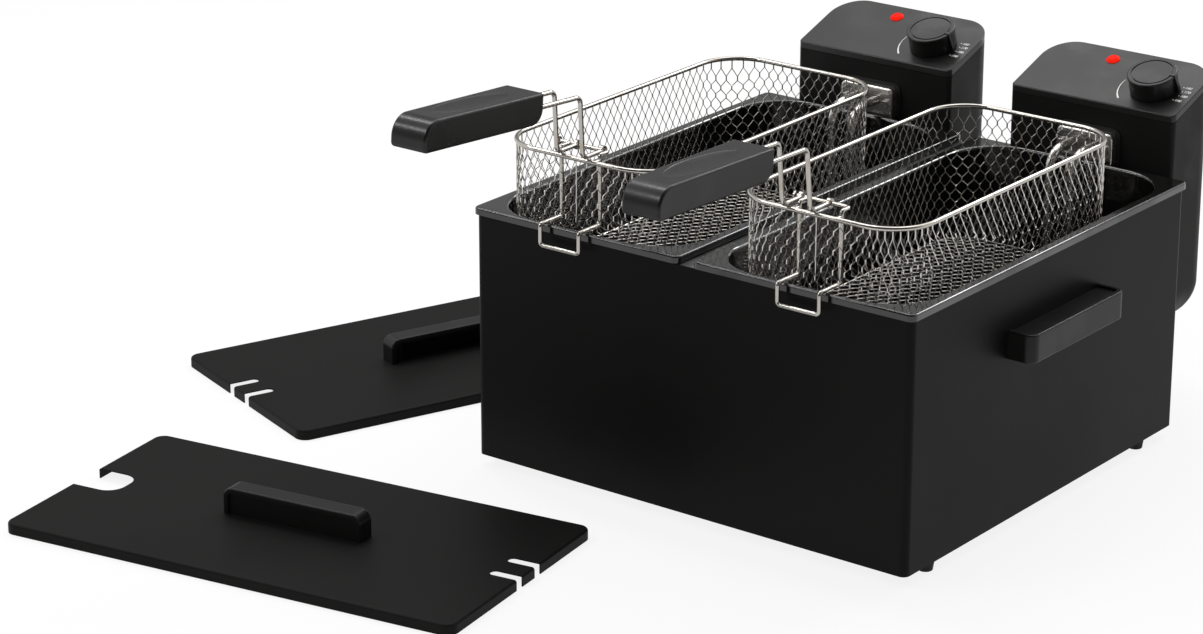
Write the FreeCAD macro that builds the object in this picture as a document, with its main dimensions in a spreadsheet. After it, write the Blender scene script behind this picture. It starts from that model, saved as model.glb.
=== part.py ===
import FreeCAD, Part

import math
import os

import Sketcher
from FreeCAD import Placement, Rotation, Vector

# Double deep fryer: one cabinet, two oil pans, two control units with heaters that hang on the back,
# two mesh baskets hooked raised on the pans, and two lids lying on the table beside it.
# X runs to the right along the front, Y to the rear and Z up, in millimetres. The origin is on the
# table under the middle of the cabinet.

DIMENSIONS = {
    # Oil pans
    "rim_height": 227, "pan_offset": 111, "pan_width": 208, "pan_length": 416, "pan_corner": 6,
    "pan_lip": 6, "pan_wall": 1.2, "pan_depth": 128, "opening_width": 188, "opening_length": 404,
    "opening_corner": 46, "pan_draft": 1, "lip_round": 1.8, "draw_round": 3, "sump_round": 14,
    # Cabinet
    "cabinet_width": 426, "cabinet_depth": 412, "cabinet_corner": 6, "cabinet_wall": 1,
    "seat_gap": 0.4, "rear_return": 14, "foot_height": 10, "foot_x": 203, "foot_y": 162,
    "foot_top": 15, "foot_bottom": 12, "base_edge": 12, "rail_width": 18, "rail_depth": 22,
    "rail_drop": 6.8,
    # Side handles and lid handles
    "side_length": 142, "side_width": 24, "side_height": 24, "side_level": 162, "side_screw": 52,
    "side_y": 3,
    "lid_grip_length": 130, "lid_grip_width": 18, "lid_grip_height": 23, "lid_grip_screw": 54,
    "handle_wall": 4.5, "handle_web": 3, "handle_recess": 2, "handle_round": 9, "boss": 9,
    # Control units
    "control_front": 222, "control_rear": 297, "control_width": 160, "control_bottom": 80,
    "control_top": 275, "control_slope": 18.6, "cover_thickness": 6, "rear_round": 28,
    "front_round": 4, "sole_round": 34, "cavity_width": 124, "cavity_bottom": 105,
    "knob_u": 43, "knob_v": 32, "knob_diameter": 43, "knob_height": 17, "pointer_reach": 24.8,
    "shaft": 6,
    "lamp_u": -14.5, "lamp_v": 62, "lamp_diameter": 12, "reset_u": 30, "reset_z": 150,
    "reset_diameter": 9, "gland_u": -30, "gland_z": 140, "gland_diameter": 14,
    # Hanger of the control units
    "hanger_width": 76, "hanger_top": 205, "tab_width": 40, "tab_neck": 30, "tab_level": 162,
    "tab_height": 18, "tab_sheet": 1.5, "tab_reach": 11.5, "hanger_play": 3,
    # Heater
    "bracket_width": 54, "bracket_height": 29, "bracket_level": 236.5, "bracket_depth": 8.5,
    "gasket_thickness": 1.5, "bracket_screw": 21, "tube_diameter": 8, "tube_gap": 22,
    "tube_level": 239, "tube_leg": 176, "heater_level": 112, "heater_front": -146,
    "heater_loop": 42, "heater_return": 110, "bulb_diameter": 6, "capillary": 3, "bulb_leg": 185,
    # Baskets and folding handles
    "basket_width": 162, "basket_length": 321, "basket_corner": 38, "basket_depth": 113,
    "basket_level": 284, "basket_front": -196, "basket_shift": 5.5, "rim_wire": 4, "mesh_wall": 1.5,
    "cell_width": 26, "cell_height": 54, "cell_strand": 3, "corner_cell": 11, "hook_wire": 3.5,
    "hook_half": 19.5, "hook_shift": -2, "hook_reach": 215.5, "hook_drop": 212, "hook_bend": 3,
    "hook_gap": 1.1, "rod_y": -187.5, "stay": 3, "pivot_y": -176.5, "pivot_z": 288.4, "bar_end": 32,
    "bar_stop": 1.5, "leg_half": 13, "leg_y": -203, "handle_level": 340, "handle_wire": 4,
    "handle_bend": 6, "eye_diameter": 8, "eye_width": 3, "running_play": 0.05, "grip_rear": -260,
    "grip_front": -401.5, "grip_top": 353.2, "grip_bottom": 328.2, "grip_width": 38.5,
    "grip_taper": 2, "wire_end": -340,
    # Lids
    "lid_width": 220, "lid_length": 418, "lid_height": 9, "lid_wall": 1, "lid_corner": 10,
    "lid_round": 2.2, "slot_width": 9, "slot_depth": 26, "slot_half": 14, "slot_shift": 7,
    "notch_width": 38, "notch_depth": 42, "notch_shift": 2.5,
}
SIDES = {"left": -1, "right": 1}
# Where each lid lies: centre on the table, and its turn from the way it sits on its pan, in degrees
LID_PLACES = {"left": (-392.5, -25.3, -20.8), "right": (-232.7, -410.6, 98.9)}
# Turn of each knob's pointer from the right, anticlockwise from above, in degrees
POINTER_REST = {"left": -8, "right": 3}
# How each folding handle is set: its slide along the pivot bar and the lean of its legs to the front,
# in mm, and the rise of its grip, in degrees
HANDLE_SET = {"left": (-1, 3.3, 4.0), "right": (-14, 5.7, 1.3)}
CORNER_STRIPS = 4

doc = FreeCAD.newDocument("DeepFryer")
sheet = doc.addObject("Spreadsheet::Sheet", "dims")
for row, (alias, value) in enumerate(DIMENSIONS.items(), 1):
    sheet.set(f"A{row}", alias)
    sheet.set(f"B{row}", str(value))
    sheet.setAlias(f"B{row}", alias)
doc.recompute()

parts = {}


def dim(alias):
    """Value of one cell of the sheet."""
    return float(sheet.get(alias))


def evaluate(expression):
    """Value of an expression on the sheet's cells."""
    return float(sheet.evalExpression(expression))


def at(x=0.0, y=0.0, z=0.0, turn=0.0, axis=(0, 0, 1)):
    """Placement at a point, turned about an axis."""
    return Placement(Vector(x, y, z), Rotation(Vector(*axis), turn))


def keep(label, item, place=None):
    """Note an object as the sub-part of that name, and put it in its place."""
    item.Label = label
    if place is not None:
        item.Placement = place
    parts[label] = item
    return item


def new_body(name):
    """Empty body."""
    return doc.addObject("PartDesign::Body", name)


def add_sketch(body, role, offset=Placement()):
    """Sketch on one of the body's own origin planes."""
    sketch = body.newObject("Sketcher::SketchObject", "Sketch")
    plane = next(feature for feature in body.Origin.OriginFeatures if feature.Role == role)
    sketch.AttachmentSupport = [(plane, "")]
    sketch.MapMode = "FlatFace"
    sketch.AttachmentOffset = offset
    return sketch


def bound_constraint(sketch, kind, *geometry_and_value):
    """Dimension of a sketch whose value is an expression, the last argument."""
    *geometry, expression = geometry_and_value
    index = sketch.addConstraint(Sketcher.Constraint(kind, *geometry, evaluate(expression)))
    sketch.setExpression(f"Constraints[{index}]", expression)


def rounded_rectangle(sketch, width, depth, radius):
    """Rectangle with round corners about the sketch's origin, its sizes bound to expressions."""
    half_w, half_d, round_r = evaluate(width) / 2, evaluate(depth) / 2, evaluate(radius)
    corners = [(1, -1, 270), (1, 1, 0), (-1, 1, 90), (-1, -1, 180)]
    arcs = []
    for sign_x, sign_y, start in corners:
        centre = Vector(sign_x * (half_w - round_r), sign_y * (half_d - round_r), 0)
        circle = Part.Circle(centre, Vector(0, 0, 1), round_r)
        arc = Part.ArcOfCircle(circle, math.radians(start), math.radians(start + 90))
        arcs.append(sketch.addGeometry(arc))
    lines = []
    for index in range(4):
        begin = sketch.getPoint(arcs[index], 2)
        end = sketch.getPoint(arcs[(index + 1) % 4], 1)
        lines.append(sketch.addGeometry(Part.LineSegment(begin, end)))
    for index in range(4):
        following = arcs[(index + 1) % 4]
        sketch.addConstraint(Sketcher.Constraint("Tangent", arcs[index], 2, lines[index], 1))
        sketch.addConstraint(Sketcher.Constraint("Tangent", lines[index], 2, following, 1))
        direction = "Vertical" if index % 2 == 0 else "Horizontal"
        sketch.addConstraint(Sketcher.Constraint(direction, lines[index]))
    for index in range(1, 4):
        sketch.addConstraint(Sketcher.Constraint("Equal", arcs[0], arcs[index]))
    sketch.addConstraint(Sketcher.Constraint("Symmetric", arcs[0], 3, arcs[2], 3, -1, 1))
    bound_constraint(sketch, "Radius", arcs[0], radius)
    bound_constraint(sketch, "DistanceX", lines[2], 1, lines[0], 1, width)
    bound_constraint(sketch, "DistanceY", lines[3], 1, lines[1], 1, depth)


def circle_row(sketch, centres, diameter):
    """Equal circles, their diameter bound to an expression."""
    for x, y in centres:
        circle = Part.Circle(Vector(x, y, 0), Vector(0, 0, 1), evaluate(diameter) / 2)
        bound_constraint(sketch, "Diameter", sketch.addGeometry(circle), diameter)


def outline(sketch, corners):
    """Closed outline through corners (x, y, radius), each rounded by a tangent arc."""
    points = [Vector(x, y, 0) for x, y, _ in corners]
    joints = []
    for index, (_, _, radius) in enumerate(corners):
        here = points[index]
        back = (points[index - 1] - here).normalize()
        ahead = (points[(index + 1) % len(points)] - here).normalize()
        if radius == 0:
            joints.append((here, here))
            continue
        half = back.getAngle(ahead) / 2
        begin = here + back * (radius / math.tan(half))
        end = here + ahead * (radius / math.tan(half))
        centre = here + (back + ahead).normalize() * (radius / math.sin(half))
        joints.append((begin, end))
        left_turn = back.cross(ahead).z < 0
        first, last = (begin, end) if left_turn else (end, begin)
        angles = [math.atan2(p.y - centre.y, p.x - centre.x) for p in (first, last)]
        sketch.addGeometry(Part.ArcOfCircle(Part.Circle(centre, Vector(0, 0, 1), radius), *angles))
    for index, (_, end) in enumerate(joints):
        begin = joints[(index + 1) % len(joints)][0]
        if end.distanceToPoint(begin) > 1e-6:
            sketch.addGeometry(Part.LineSegment(end, begin))


def rectangle(sketch, x0, y0, x1, y1):
    """Rectangle between two corners."""
    outline(sketch, [(x0, y0, 0), (x1, y0, 0), (x1, y1, 0), (x0, y1, 0)])


def extrude(kind, body, sketch, length=None, both_ways=False, backwards=False, draft=None):
    """Pad or Pocket of a sketch: a length that is an expression, or through everything."""
    feature = body.newObject(f"PartDesign::{kind}", kind)
    feature.Profile = sketch
    if both_ways:
        feature.SideType = "Symmetric"
    feature.Reversed = backwards
    if length is None:
        feature.Type = "ThroughAll"
    else:
        feature.setExpression("Length", length)
    if draft is not None:
        feature.setExpression("TaperAngle", draft)
    return feature


def pad(body, sketch, length, **options):
    """Solid grown from a sketch."""
    return extrude("Pad", body, sketch, length, **options)


def pocket(body, sketch, length=None, **options):
    """Cut made by a sketch."""
    return extrude("Pocket", body, sketch, length, **options)


def soften(body, radius, pick, kind="Fillet"):
    """Fillet, or chamfer, of the edges that pick accepts, its size bound to an expression."""
    doc.recompute()
    base = body.Tip
    names = [f"Edge{i}" for i, edge in enumerate(base.Shape.Edges, 1) if pick(edge)]
    feature = body.newObject(f"PartDesign::{kind}", kind)
    feature.Base = (base, names)
    feature.setExpression("Radius" if kind == "Fillet" else "Size", radius)
    return feature


def level_at(z, tolerance=0.01):
    """Test for edges that lie at one height."""
    return lambda edge: edge.BoundBox.ZLength < tolerance and abs(edge.BoundBox.ZMax - z) < tolerance


def primitive(kind, place, **sizes):
    """Part primitive, its sizes bound to expressions."""
    item = doc.addObject(f"Part::{kind}", kind)
    for name, expression in sizes.items():
        item.setExpression(name, expression)
    item.Placement = place
    return item


def boolean(kind, base, tool):
    """Part::Cut or Part::Common of two objects."""
    item = doc.addObject(f"Part::{kind}", kind)
    item.Base = base
    item.Tool = tool
    return item


def fuse(*items):
    """Objects joined to one solid."""
    item = doc.addObject("Part::MultiFuse", "Fuse")
    item.Shapes = list(items)
    return item


def compound(*items):
    """Separate solids in one object."""
    item = doc.addObject("Part::Compound", "Compound")
    item.Links = list(items)
    return item


def copies(master, places):
    """Separate solids of one shape, such as a set of screws."""
    doc.recompute()
    item = doc.addObject("Part::Feature", "Group")
    item.Shape = Part.makeCompound([master.Shape.transformed(p.toMatrix()) for p in places])
    return item


def wire_path(points, bends, closed=False):
    """Centre line of a bent rod: straight runs joined by tangent arcs of the given radii."""
    points = [Vector(*point) for point in points]
    count = len(points)
    joints = []
    for index, here in enumerate(points):
        if not closed and index in (0, count - 1):
            joints.append((here, None, here))
            continue
        radius = bends[index] if isinstance(bends, (list, tuple)) else bends
        back = (points[index - 1] - here).normalize()
        ahead = (points[(index + 1) % count] - here).normalize()
        half = back.getAngle(ahead) / 2
        inward = (back + ahead).normalize()
        reach = radius / math.tan(half)
        middle = here + inward * (radius / math.sin(half) - radius)
        joints.append((here + back * reach, middle, here + ahead * reach))
    edges = []
    for index, (begin, middle, end) in enumerate(joints):
        if middle is not None:
            edges.append(Part.Arc(begin, middle, end).toShape())
        if index < count - 1 or closed:
            following = joints[(index + 1) % count][0]
            edges.append(Part.LineSegment(end, following).toShape())
    # A closed line starts on a straight run, where the section stands square to it
    path = Part.Wire(edges[1:] + edges[:1]) if closed else Part.Wire(edges)
    item = doc.addObject("Part::Feature", "Path")
    item.Shape = path
    return item


def rod(path, diameter):
    """Round rod swept along a centre line, its diameter bound to an expression."""
    first = path.Shape.OrderedEdges[0]
    start = first.valueAt(first.FirstParameter)
    along = first.tangentAt(first.FirstParameter)
    section = primitive("Circle", Placement(start, Rotation(Vector(0, 0, 1), along)),
                        Radius=f"({diameter}) / 2")
    item = doc.addObject("Part::Sweep", "Sweep")
    item.Sections = [section]
    item.Spine = (path, [f"Edge{i}" for i in range(1, len(path.Shape.Edges) + 1)])
    item.Solid = True
    item.Frenet = False
    return item


def pan_head_screw(shank, length, head, head_height):
    """Screw along Z: shank from 0 up to its length, head below."""
    body = new_body("Screw")
    disc = add_sketch(body, "XY_Plane")
    circle_row(disc, [(0, 0)], head)
    pad(body, disc, head_height, backwards=True)
    pin = add_sketch(body, "XY_Plane")
    circle_row(pin, [(0, 0)], shank)
    pad(body, pin, length)
    soften(body, f"({head_height}) / 3", level_at(-evaluate(head_height)))
    return body


def cabinet_shell():
    """Wrapped sheet: front, both sides and returns at the rear."""
    body = new_body("cabinet_shell")
    floor = at(z=dim("foot_height"))
    outer = add_sketch(body, "XY_Plane", floor)
    rounded_rectangle(outer, "dims.cabinet_width", "dims.cabinet_depth", "dims.cabinet_corner")
    pad(body, outer, "dims.rim_height - dims.pan_wall - dims.seat_gap - dims.foot_height")
    inner = add_sketch(body, "XY_Plane", floor)
    rounded_rectangle(inner, "dims.cabinet_width - 2 * dims.cabinet_wall",
                      "dims.cabinet_depth - 2 * dims.cabinet_wall",
                      "dims.cabinet_corner - dims.cabinet_wall")
    pocket(body, inner, backwards=True)
    half_window = dim("cabinet_width") / 2 - dim("rear_return")
    window = add_sketch(body, "XZ_Plane", at(z=-dim("cabinet_depth") / 2 + 5))
    rectangle(window, -half_window, 0, half_window, dim("rim_height"))
    pocket(body, window)
    lips = add_sketch(body, "XZ_Plane", at(z=dim("cabinet_depth") / 2 - 5))
    rectangle(lips, -14.5, dim("rim_height") - dim("rail_drop"), 14.5, dim("rim_height"))
    pocket(body, lips, "10", backwards=True)
    holes = add_sketch(body, "YZ_Plane")
    level = dim("side_level")
    circle_row(holes, [(y, level) for y in side_screw_rows()], "5.4")
    pocket(body, holes, "2 * dims.cabinet_width", both_ways=True)
    keep("cabinet_shell", body)


def side_screw_rows():
    """Y of the two screws of a side handle."""
    return dim("side_y") - dim("side_screw"), dim("side_y") + dim("side_screw")


def rear_panel():
    """Flat sheet inside the rear returns."""
    inner = "dims.cabinet_width - 2 * dims.cabinet_wall"
    bottom = dim("foot_height") + dim("base_edge")
    lap = dim("cabinet_corner")
    panel = primitive("Box", at(-evaluate(inner) / 2 + lap, dim("cabinet_depth") / 2 - 2, bottom),
                      Length=f"{inner} - {2 * lap}", Width="dims.cabinet_wall",
                      Height="dims.rim_height - 12 - dims.foot_height - dims.base_edge")
    keep("rear_panel", panel)


def base_plate():
    """Pressed tray that closes the bottom, with two rows of vent slots."""
    body = new_body("base_plate")
    wall = "dims.cabinet_wall"
    floor = at(z=dim("foot_height"))
    outer = add_sketch(body, "XY_Plane", floor)
    rounded_rectangle(outer, f"dims.cabinet_width - 2 * {wall}", f"dims.cabinet_depth - 2 * {wall}",
                      "dims.cabinet_corner + 3")
    pad(body, outer, "dims.base_edge")
    inner = add_sketch(body, "XY_Plane", at(z=dim("foot_height") + dim("cabinet_wall")))
    rounded_rectangle(inner, f"dims.cabinet_width - 4 * {wall}", f"dims.cabinet_depth - 4 * {wall}",
                      "dims.cabinet_corner + 2")
    pocket(body, inner, backwards=True)
    slots = add_sketch(body, "XY_Plane", at(z=dim("foot_height") + dim("cabinet_wall")))
    slot_half, slot_round, slot_pitch = 30, 2.9, 16
    for centre_x in (-dim("pan_offset"), dim("pan_offset")):
        for step in range(-3, 4):
            y = step * slot_pitch
            left, right = centre_x - slot_half, centre_x + slot_half
            outline(slots, [(left, y - 3, slot_round), (right, y - 3, slot_round),
                            (right, y + 3, slot_round), (left, y + 3, slot_round)])
    pocket(body, slots)
    holes = add_sketch(body, "XY_Plane", at(z=dim("foot_height") + dim("cabinet_wall")))
    circle_row(holes, foot_centres(), "4.4")
    pocket(body, holes)
    keep("base_plate", body)


def foot_centres():
    """Centres of the four feet."""
    return [(x, y) for x in (-dim("foot_x"), dim("foot_x")) for y in (-dim("foot_y"), dim("foot_y"))]


def feet():
    """Four tapered feet, each counterbored for its screw, and their screws."""
    body = new_body("Foot")
    section = add_sketch(body, "XZ_Plane")
    bore, recess, recess_depth = 2.2, 4.2, 4
    outline(section, [(recess, 0, 0), (dim("foot_bottom") / 2, 0, 1),
                      (dim("foot_top") / 2, dim("foot_height"), 0),
                      (bore, dim("foot_height"), 0), (bore, recess_depth, 0), (recess, recess_depth, 0)])
    turn = body.newObject("PartDesign::Revolution", "Revolution")
    turn.Profile = section
    turn.ReferenceAxis = (section, ["V_Axis"])
    turn.Angle = 360
    keep("feet", copies(body, [at(x, y) for x, y in foot_centres()]))
    screw = pan_head_screw("4", "9", "7.6", "2.2")
    keep("foot_screws", copies(screw, [at(x, y, recess_depth) for x, y in foot_centres()]))


def centre_rail():
    """Channel from front to rear under the inner lips of the pans."""
    body = new_body("centre_rail")
    half, wall = dim("rail_width") / 2, dim("cabinet_wall")
    top = dim("rim_height") - dim("rail_drop")
    bottom = top - dim("rail_depth")
    section = add_sketch(body, "XZ_Plane", at(z=dim("cabinet_depth") / 2 - wall))
    outline(section, [(-half, bottom, 0), (-half + wall, bottom, 0), (-half + wall, top - wall, 0),
                      (half - wall, top - wall, 0), (half - wall, bottom, 0), (half, bottom, 0),
                      (half, top, 2), (-half, top, 2)])
    pad(body, section, "dims.cabinet_depth - 3 * dims.cabinet_wall", backwards=True)
    keep("centre_rail", body)


def pull_handle(prefix, screw):
    """Moulded handle: length along Y, height along Z, hollow from +X, shallow recess at -X."""
    length, width, height = (dim(f"{prefix}_{name}") for name in ("length", "width", "height"))
    wall, curve = dim("handle_wall"), dim("handle_round")
    body = new_body(f"{prefix}_handle")

    def arch(sketch, inset, radius):
        half, top = length / 2 - inset, height - inset
        outline(sketch, [(-half, 0, 0), (half, 0, 0), (half, top, radius), (-half, top, radius)])

    block = add_sketch(body, "YZ_Plane")
    arch(block, 0, curve)
    pad(body, block, f"dims.{prefix}_width", both_ways=True)
    soften(body, "1.6", lambda edge: edge.BoundBox.XLength < 0.01 and edge.BoundBox.ZMax > 1)
    hollow = add_sketch(body, "YZ_Plane", at(z=width / 2))
    arch(hollow, wall, curve - wall)
    pocket(body, hollow, f"dims.{prefix}_width - dims.handle_web - dims.handle_recess")
    recess = add_sketch(body, "YZ_Plane", at(z=-width / 2))
    arch(recess, wall, curve - wall)
    pocket(body, recess, "dims.handle_recess", backwards=True)
    posts = add_sketch(body, "XY_Plane")
    circle_row(posts, [(0, -screw), (0, screw)], "dims.boss")
    pad(body, posts, f"dims.{prefix}_height - dims.handle_wall")
    threads = add_sketch(body, "XY_Plane")
    circle_row(threads, [(0, -screw), (0, screw)], "4.2")
    pocket(body, threads, f"dims.{prefix}_height - 2 * dims.handle_wall", backwards=True)
    return body


def side_handles():
    """Carrying handles, hollow from below, and their screws from inside the walls."""
    face = dim("cabinet_width") / 2
    level, spacing = dim("side_level"), dim("side_screw")
    out_right = Rotation(Vector(0, 1, 0), 90)
    out_left = Rotation(Vector(0, 1, 0), -90) * Rotation(Vector(0, 0, 1), 180)
    for side, turn in (("right", out_right), ("left", out_left)):
        handle = pull_handle("side", spacing)
        spot = Vector(SIDES[side] * face, dim("side_y"), level)
        keep(f"side_handle_{side}", handle, Placement(spot, turn))
    inside = face - dim("cabinet_wall")
    places = [Placement(Vector(sign * inside, y, level), Rotation(Vector(0, 1, 0), sign * 90))
              for sign in (-1, 1) for y in side_screw_rows()]
    keep("side_handle_screws", copies(pan_head_screw("4", "13", "8", "2.6"), places))


def hanger_tabs():
    """Bent tabs on the rear panel: out from the panel, then up into the control unit's slot."""
    panel = dim("cabinet_depth") / 2 - dim("cabinet_wall")
    tabs = []
    for sign in SIDES.values():
        centre = sign * dim("pan_offset")
        neck = primitive("Box", at(centre - dim("tab_neck") / 2, panel, dim("tab_level")),
                         Length="dims.tab_neck", Width="dims.tab_reach - dims.tab_sheet",
                         Height="dims.tab_sheet")
        hook_y = panel + dim("tab_reach") - dim("tab_sheet")
        hook = primitive("Box", at(centre - dim("tab_width") / 2, hook_y, dim("tab_level")),
                         Length="dims.tab_width", Width="dims.tab_sheet", Height="dims.tab_height")
        tabs.append(fuse(neck, hook))
    keep("hanger_tabs", compound(*tabs))


def oil_pan(side):
    """Drawn pan: flat flange with a turned-down lip round a tapered sump with large corners."""
    body = new_body("oil_pan")
    wall = "dims.pan_wall"
    rim, lip_edge = dim("rim_height"), dim("rim_height") - dim("pan_lip")
    flange = add_sketch(body, "XY_Plane", at(z=lip_edge))
    rounded_rectangle(flange, "dims.pan_width", "dims.pan_length", "dims.pan_corner")
    pad(body, flange, "dims.pan_lip")
    soften(body, "dims.lip_round", level_at(rim))
    under = add_sketch(body, "XY_Plane", at(z=lip_edge))
    rounded_rectangle(under, f"dims.pan_width - 2 * {wall}", f"dims.pan_length - 2 * {wall}",
                      f"dims.pan_corner - {wall}")
    pocket(body, under, f"dims.pan_lip - {wall}", backwards=True)
    sump = add_sketch(body, "XY_Plane", at(z=rim - dim("pan_wall") / 2))
    rounded_rectangle(sump, f"dims.opening_width + 2 * {wall}", f"dims.opening_length + 2 * {wall}",
                      f"dims.opening_corner + {wall}")
    pad(body, sump, f"dims.pan_depth - {wall} / 2", backwards=True, draft="-dims.pan_draft")
    well = add_sketch(body, "XY_Plane", at(z=rim))
    rounded_rectangle(well, "dims.opening_width", "dims.opening_length", "dims.opening_corner")
    pocket(body, well, f"dims.pan_depth - {wall}", draft="-dims.pan_draft")
    soften(body, f"dims.sump_round - {wall}", level_at(rim - dim("pan_depth") + dim("pan_wall")))
    soften(body, "dims.sump_round", level_at(rim - dim("pan_depth")))
    reach = (dim("opening_width") / 2 + 0.1, dim("opening_length") / 2 + 0.1)

    def mouth(edge):
        box = edge.BoundBox
        ends = max(abs(box.XMin), abs(box.XMax)), max(abs(box.YMin), abs(box.YMax))
        return ends[0] < reach[0] and ends[1] < reach[1] and level_at(rim)(edge)

    soften(body, "dims.draw_round", mouth)
    keep(f"oil_pan_{side}", body, at(SIDES[side] * dim("pan_offset")))


def panel_height(y):
    """Height of the sloped control panel at one Y."""
    return dim("control_top") + (y - dim("control_front")) * math.tan(math.radians(dim("control_slope")))


def panel_place(side, u=0.0, v=0.0, h=0.0):
    """Place on a control panel: u to the right, v up the slope from the front edge, h above it."""
    corner = at(SIDES[side] * dim("pan_offset"), dim("control_front"), dim("control_top"),
                dim("control_slope"), (1, 0, 0))
    return corner.multiply(at(u, v, h))


def control_plan(sketch):
    """Outline of a control unit from above: large rear corners, small front ones."""
    half, front, rear = dim("control_width") / 2, dim("control_front"), dim("control_rear")
    outline(sketch, [(-half, front, dim("front_round")), (half, front, dim("front_round")),
                     (half, rear, dim("rear_round")), (-half, rear, dim("rear_round"))])


def control_housing(side):
    """Moulded box behind the cabinet, open at the top, with a slotted pad that hangs on the tab."""
    body = new_body("control_housing")
    front, rear, bottom = dim("control_front"), dim("control_rear"), dim("control_bottom")
    block = add_sketch(body, "XY_Plane", at(z=bottom))
    control_plan(block)
    pad(body, block, f"{panel_height(rear)} - dims.control_bottom")
    seam = dim("cover_thickness") / math.cos(math.radians(dim("control_slope")))
    trim = add_sketch(body, "YZ_Plane")
    outline(trim, [(front - 5, panel_height(front - 5) - seam, 0),
                   (rear + 5, panel_height(rear + 5) - seam, 0),
                   (rear + 5, 2 * panel_height(rear), 0), (front - 5, 2 * panel_height(rear), 0)])
    pocket(body, trim, "2 * dims.control_width", both_ways=True)
    soften(body, "dims.sole_round", lambda edge: level_at(bottom)(edge)
           and edge.BoundBox.YMin > rear - 0.01)
    cavity = add_sketch(body, "YZ_Plane")
    rectangle(cavity, front + 4, dim("cavity_bottom"), rear - 8, panel_height(rear))
    pocket(body, cavity, "dims.cavity_width", both_ways=True)
    hanger = add_sketch(body, "XZ_Plane", at(z=-front))
    half = dim("hanger_width") / 2
    rectangle(hanger, -half, dim("cavity_bottom"), half, dim("hanger_top"))
    pad(body, hanger, "dims.control_front - dims.pan_length / 2 - 0.6")
    play = dim("hanger_play")
    panel = dim("cabinet_depth") / 2 - dim("cabinet_wall")
    hook_y = panel + dim("tab_reach")
    slot = add_sketch(body, "XY_Plane", at(z=dim("cavity_bottom")))
    half_slot = dim("tab_width") / 2 + play
    rectangle(slot, -half_slot, hook_y - dim("tab_sheet") - play, half_slot, hook_y + play)
    slot_rise = dim("tab_level") + dim("tab_height") + play - dim("cavity_bottom")
    pocket(body, slot, f"{slot_rise}", backwards=True)
    throat = add_sketch(body, "XY_Plane", at(z=dim("cavity_bottom")))
    half_throat = dim("tab_neck") / 2 + play
    rectangle(throat, -half_throat, panel, half_throat, hook_y)
    throat_rise = dim("tab_level") + dim("tab_sheet") + play - dim("cavity_bottom")
    pocket(body, throat, f"{throat_rise}", backwards=True)
    window = add_sketch(body, "XZ_Plane", at(z=-front + 5))
    rectangle(window, -16, dim("bracket_level") - 9, 16, dim("bracket_level") + 9)
    pocket(body, window, "12")
    bolts = add_sketch(body, "XZ_Plane", at(z=-front + 5))
    spacing = dim("bracket_screw")
    circle_row(bolts, [(-spacing, dim("bracket_level")), (spacing, dim("bracket_level"))], "4.4")
    pocket(body, bolts, "12")
    bores = add_sketch(body, "XZ_Plane", at(z=-rear + 20))
    circle_row(bores, [(dim("reset_u"), dim("reset_z"))], "dims.reset_diameter + 0.8")
    circle_row(bores, [(dim("gland_u"), dim("gland_z"))], "dims.gland_diameter + 0.2")
    pocket(body, bores)
    keep(f"control_housing_{side}", body, at(SIDES[side] * dim("pan_offset")))


def control_cover(side):
    """Sloped panel that closes the housing, with holes for the shaft and the lamp."""
    body = new_body("control_cover")
    front, rear = dim("control_front"), dim("control_rear")
    seam = dim("cover_thickness") / math.cos(math.radians(dim("control_slope")))
    plate = add_sketch(body, "XY_Plane", at(z=dim("control_bottom")))
    control_plan(plate)
    pad(body, plate, "2 * dims.control_top")
    for lift, reach in ((0, 500), (-seam, -500)):
        trim = add_sketch(body, "YZ_Plane")
        outline(trim, [(front - 5, panel_height(front - 5) + lift, 0),
                       (rear + 5, panel_height(rear + 5) + lift, 0),
                       (rear + 5, panel_height(rear) + reach, 0),
                       (front - 5, panel_height(rear) + reach, 0)])
        pocket(body, trim, "2 * dims.control_width", both_ways=True)
    slope = math.radians(dim("control_slope"))
    across = Vector(0, -math.sin(slope), math.cos(slope))

    def on_plane(height):
        corner = Vector(0, front, panel_height(front)) - across * height
        return lambda edge: all(abs((v.Point - corner).dot(across)) < 0.01 for v in edge.Vertexes)

    soften(body, "0.8", on_plane(0), "Chamfer")
    soften(body, "0.5", on_plane(dim("cover_thickness")), "Chamfer")
    tilt = at(0, front, panel_height(front), dim("control_slope"), (1, 0, 0))
    holes = add_sketch(body, "XY_Plane", tilt)
    circle_row(holes, [(dim("knob_u"), dim("knob_v"))], "dims.shaft + 2")
    circle_row(holes, [(dim("lamp_u"), dim("lamp_v"))], "dims.lamp_diameter - 1.6")
    pocket(body, holes, "2 * dims.cover_thickness")
    keep(f"control_cover_{side}", body, at(SIDES[side] * dim("pan_offset")))


def thermostat(side):
    """Thermostat case under the panel, with the shaft that carries the knob."""
    case_side, case_height = 30, 22
    below = -dim("cover_thickness") - case_height
    u, v = dim("knob_u"), dim("knob_v")
    case = primitive("Box", panel_place(side, u - case_side / 2, v - case_side / 2, below),
                     Length=f"{case_side}", Width=f"{case_side}", Height=f"{case_height}")
    shaft = primitive("Cylinder", panel_place(side, u, v, below + case_height / 2),
                      Radius="dims.shaft / 2", Height=f"{case_height / 2} + dims.cover_thickness + 10")
    keep(f"thermostat_{side}", fuse(case, shaft))


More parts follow.
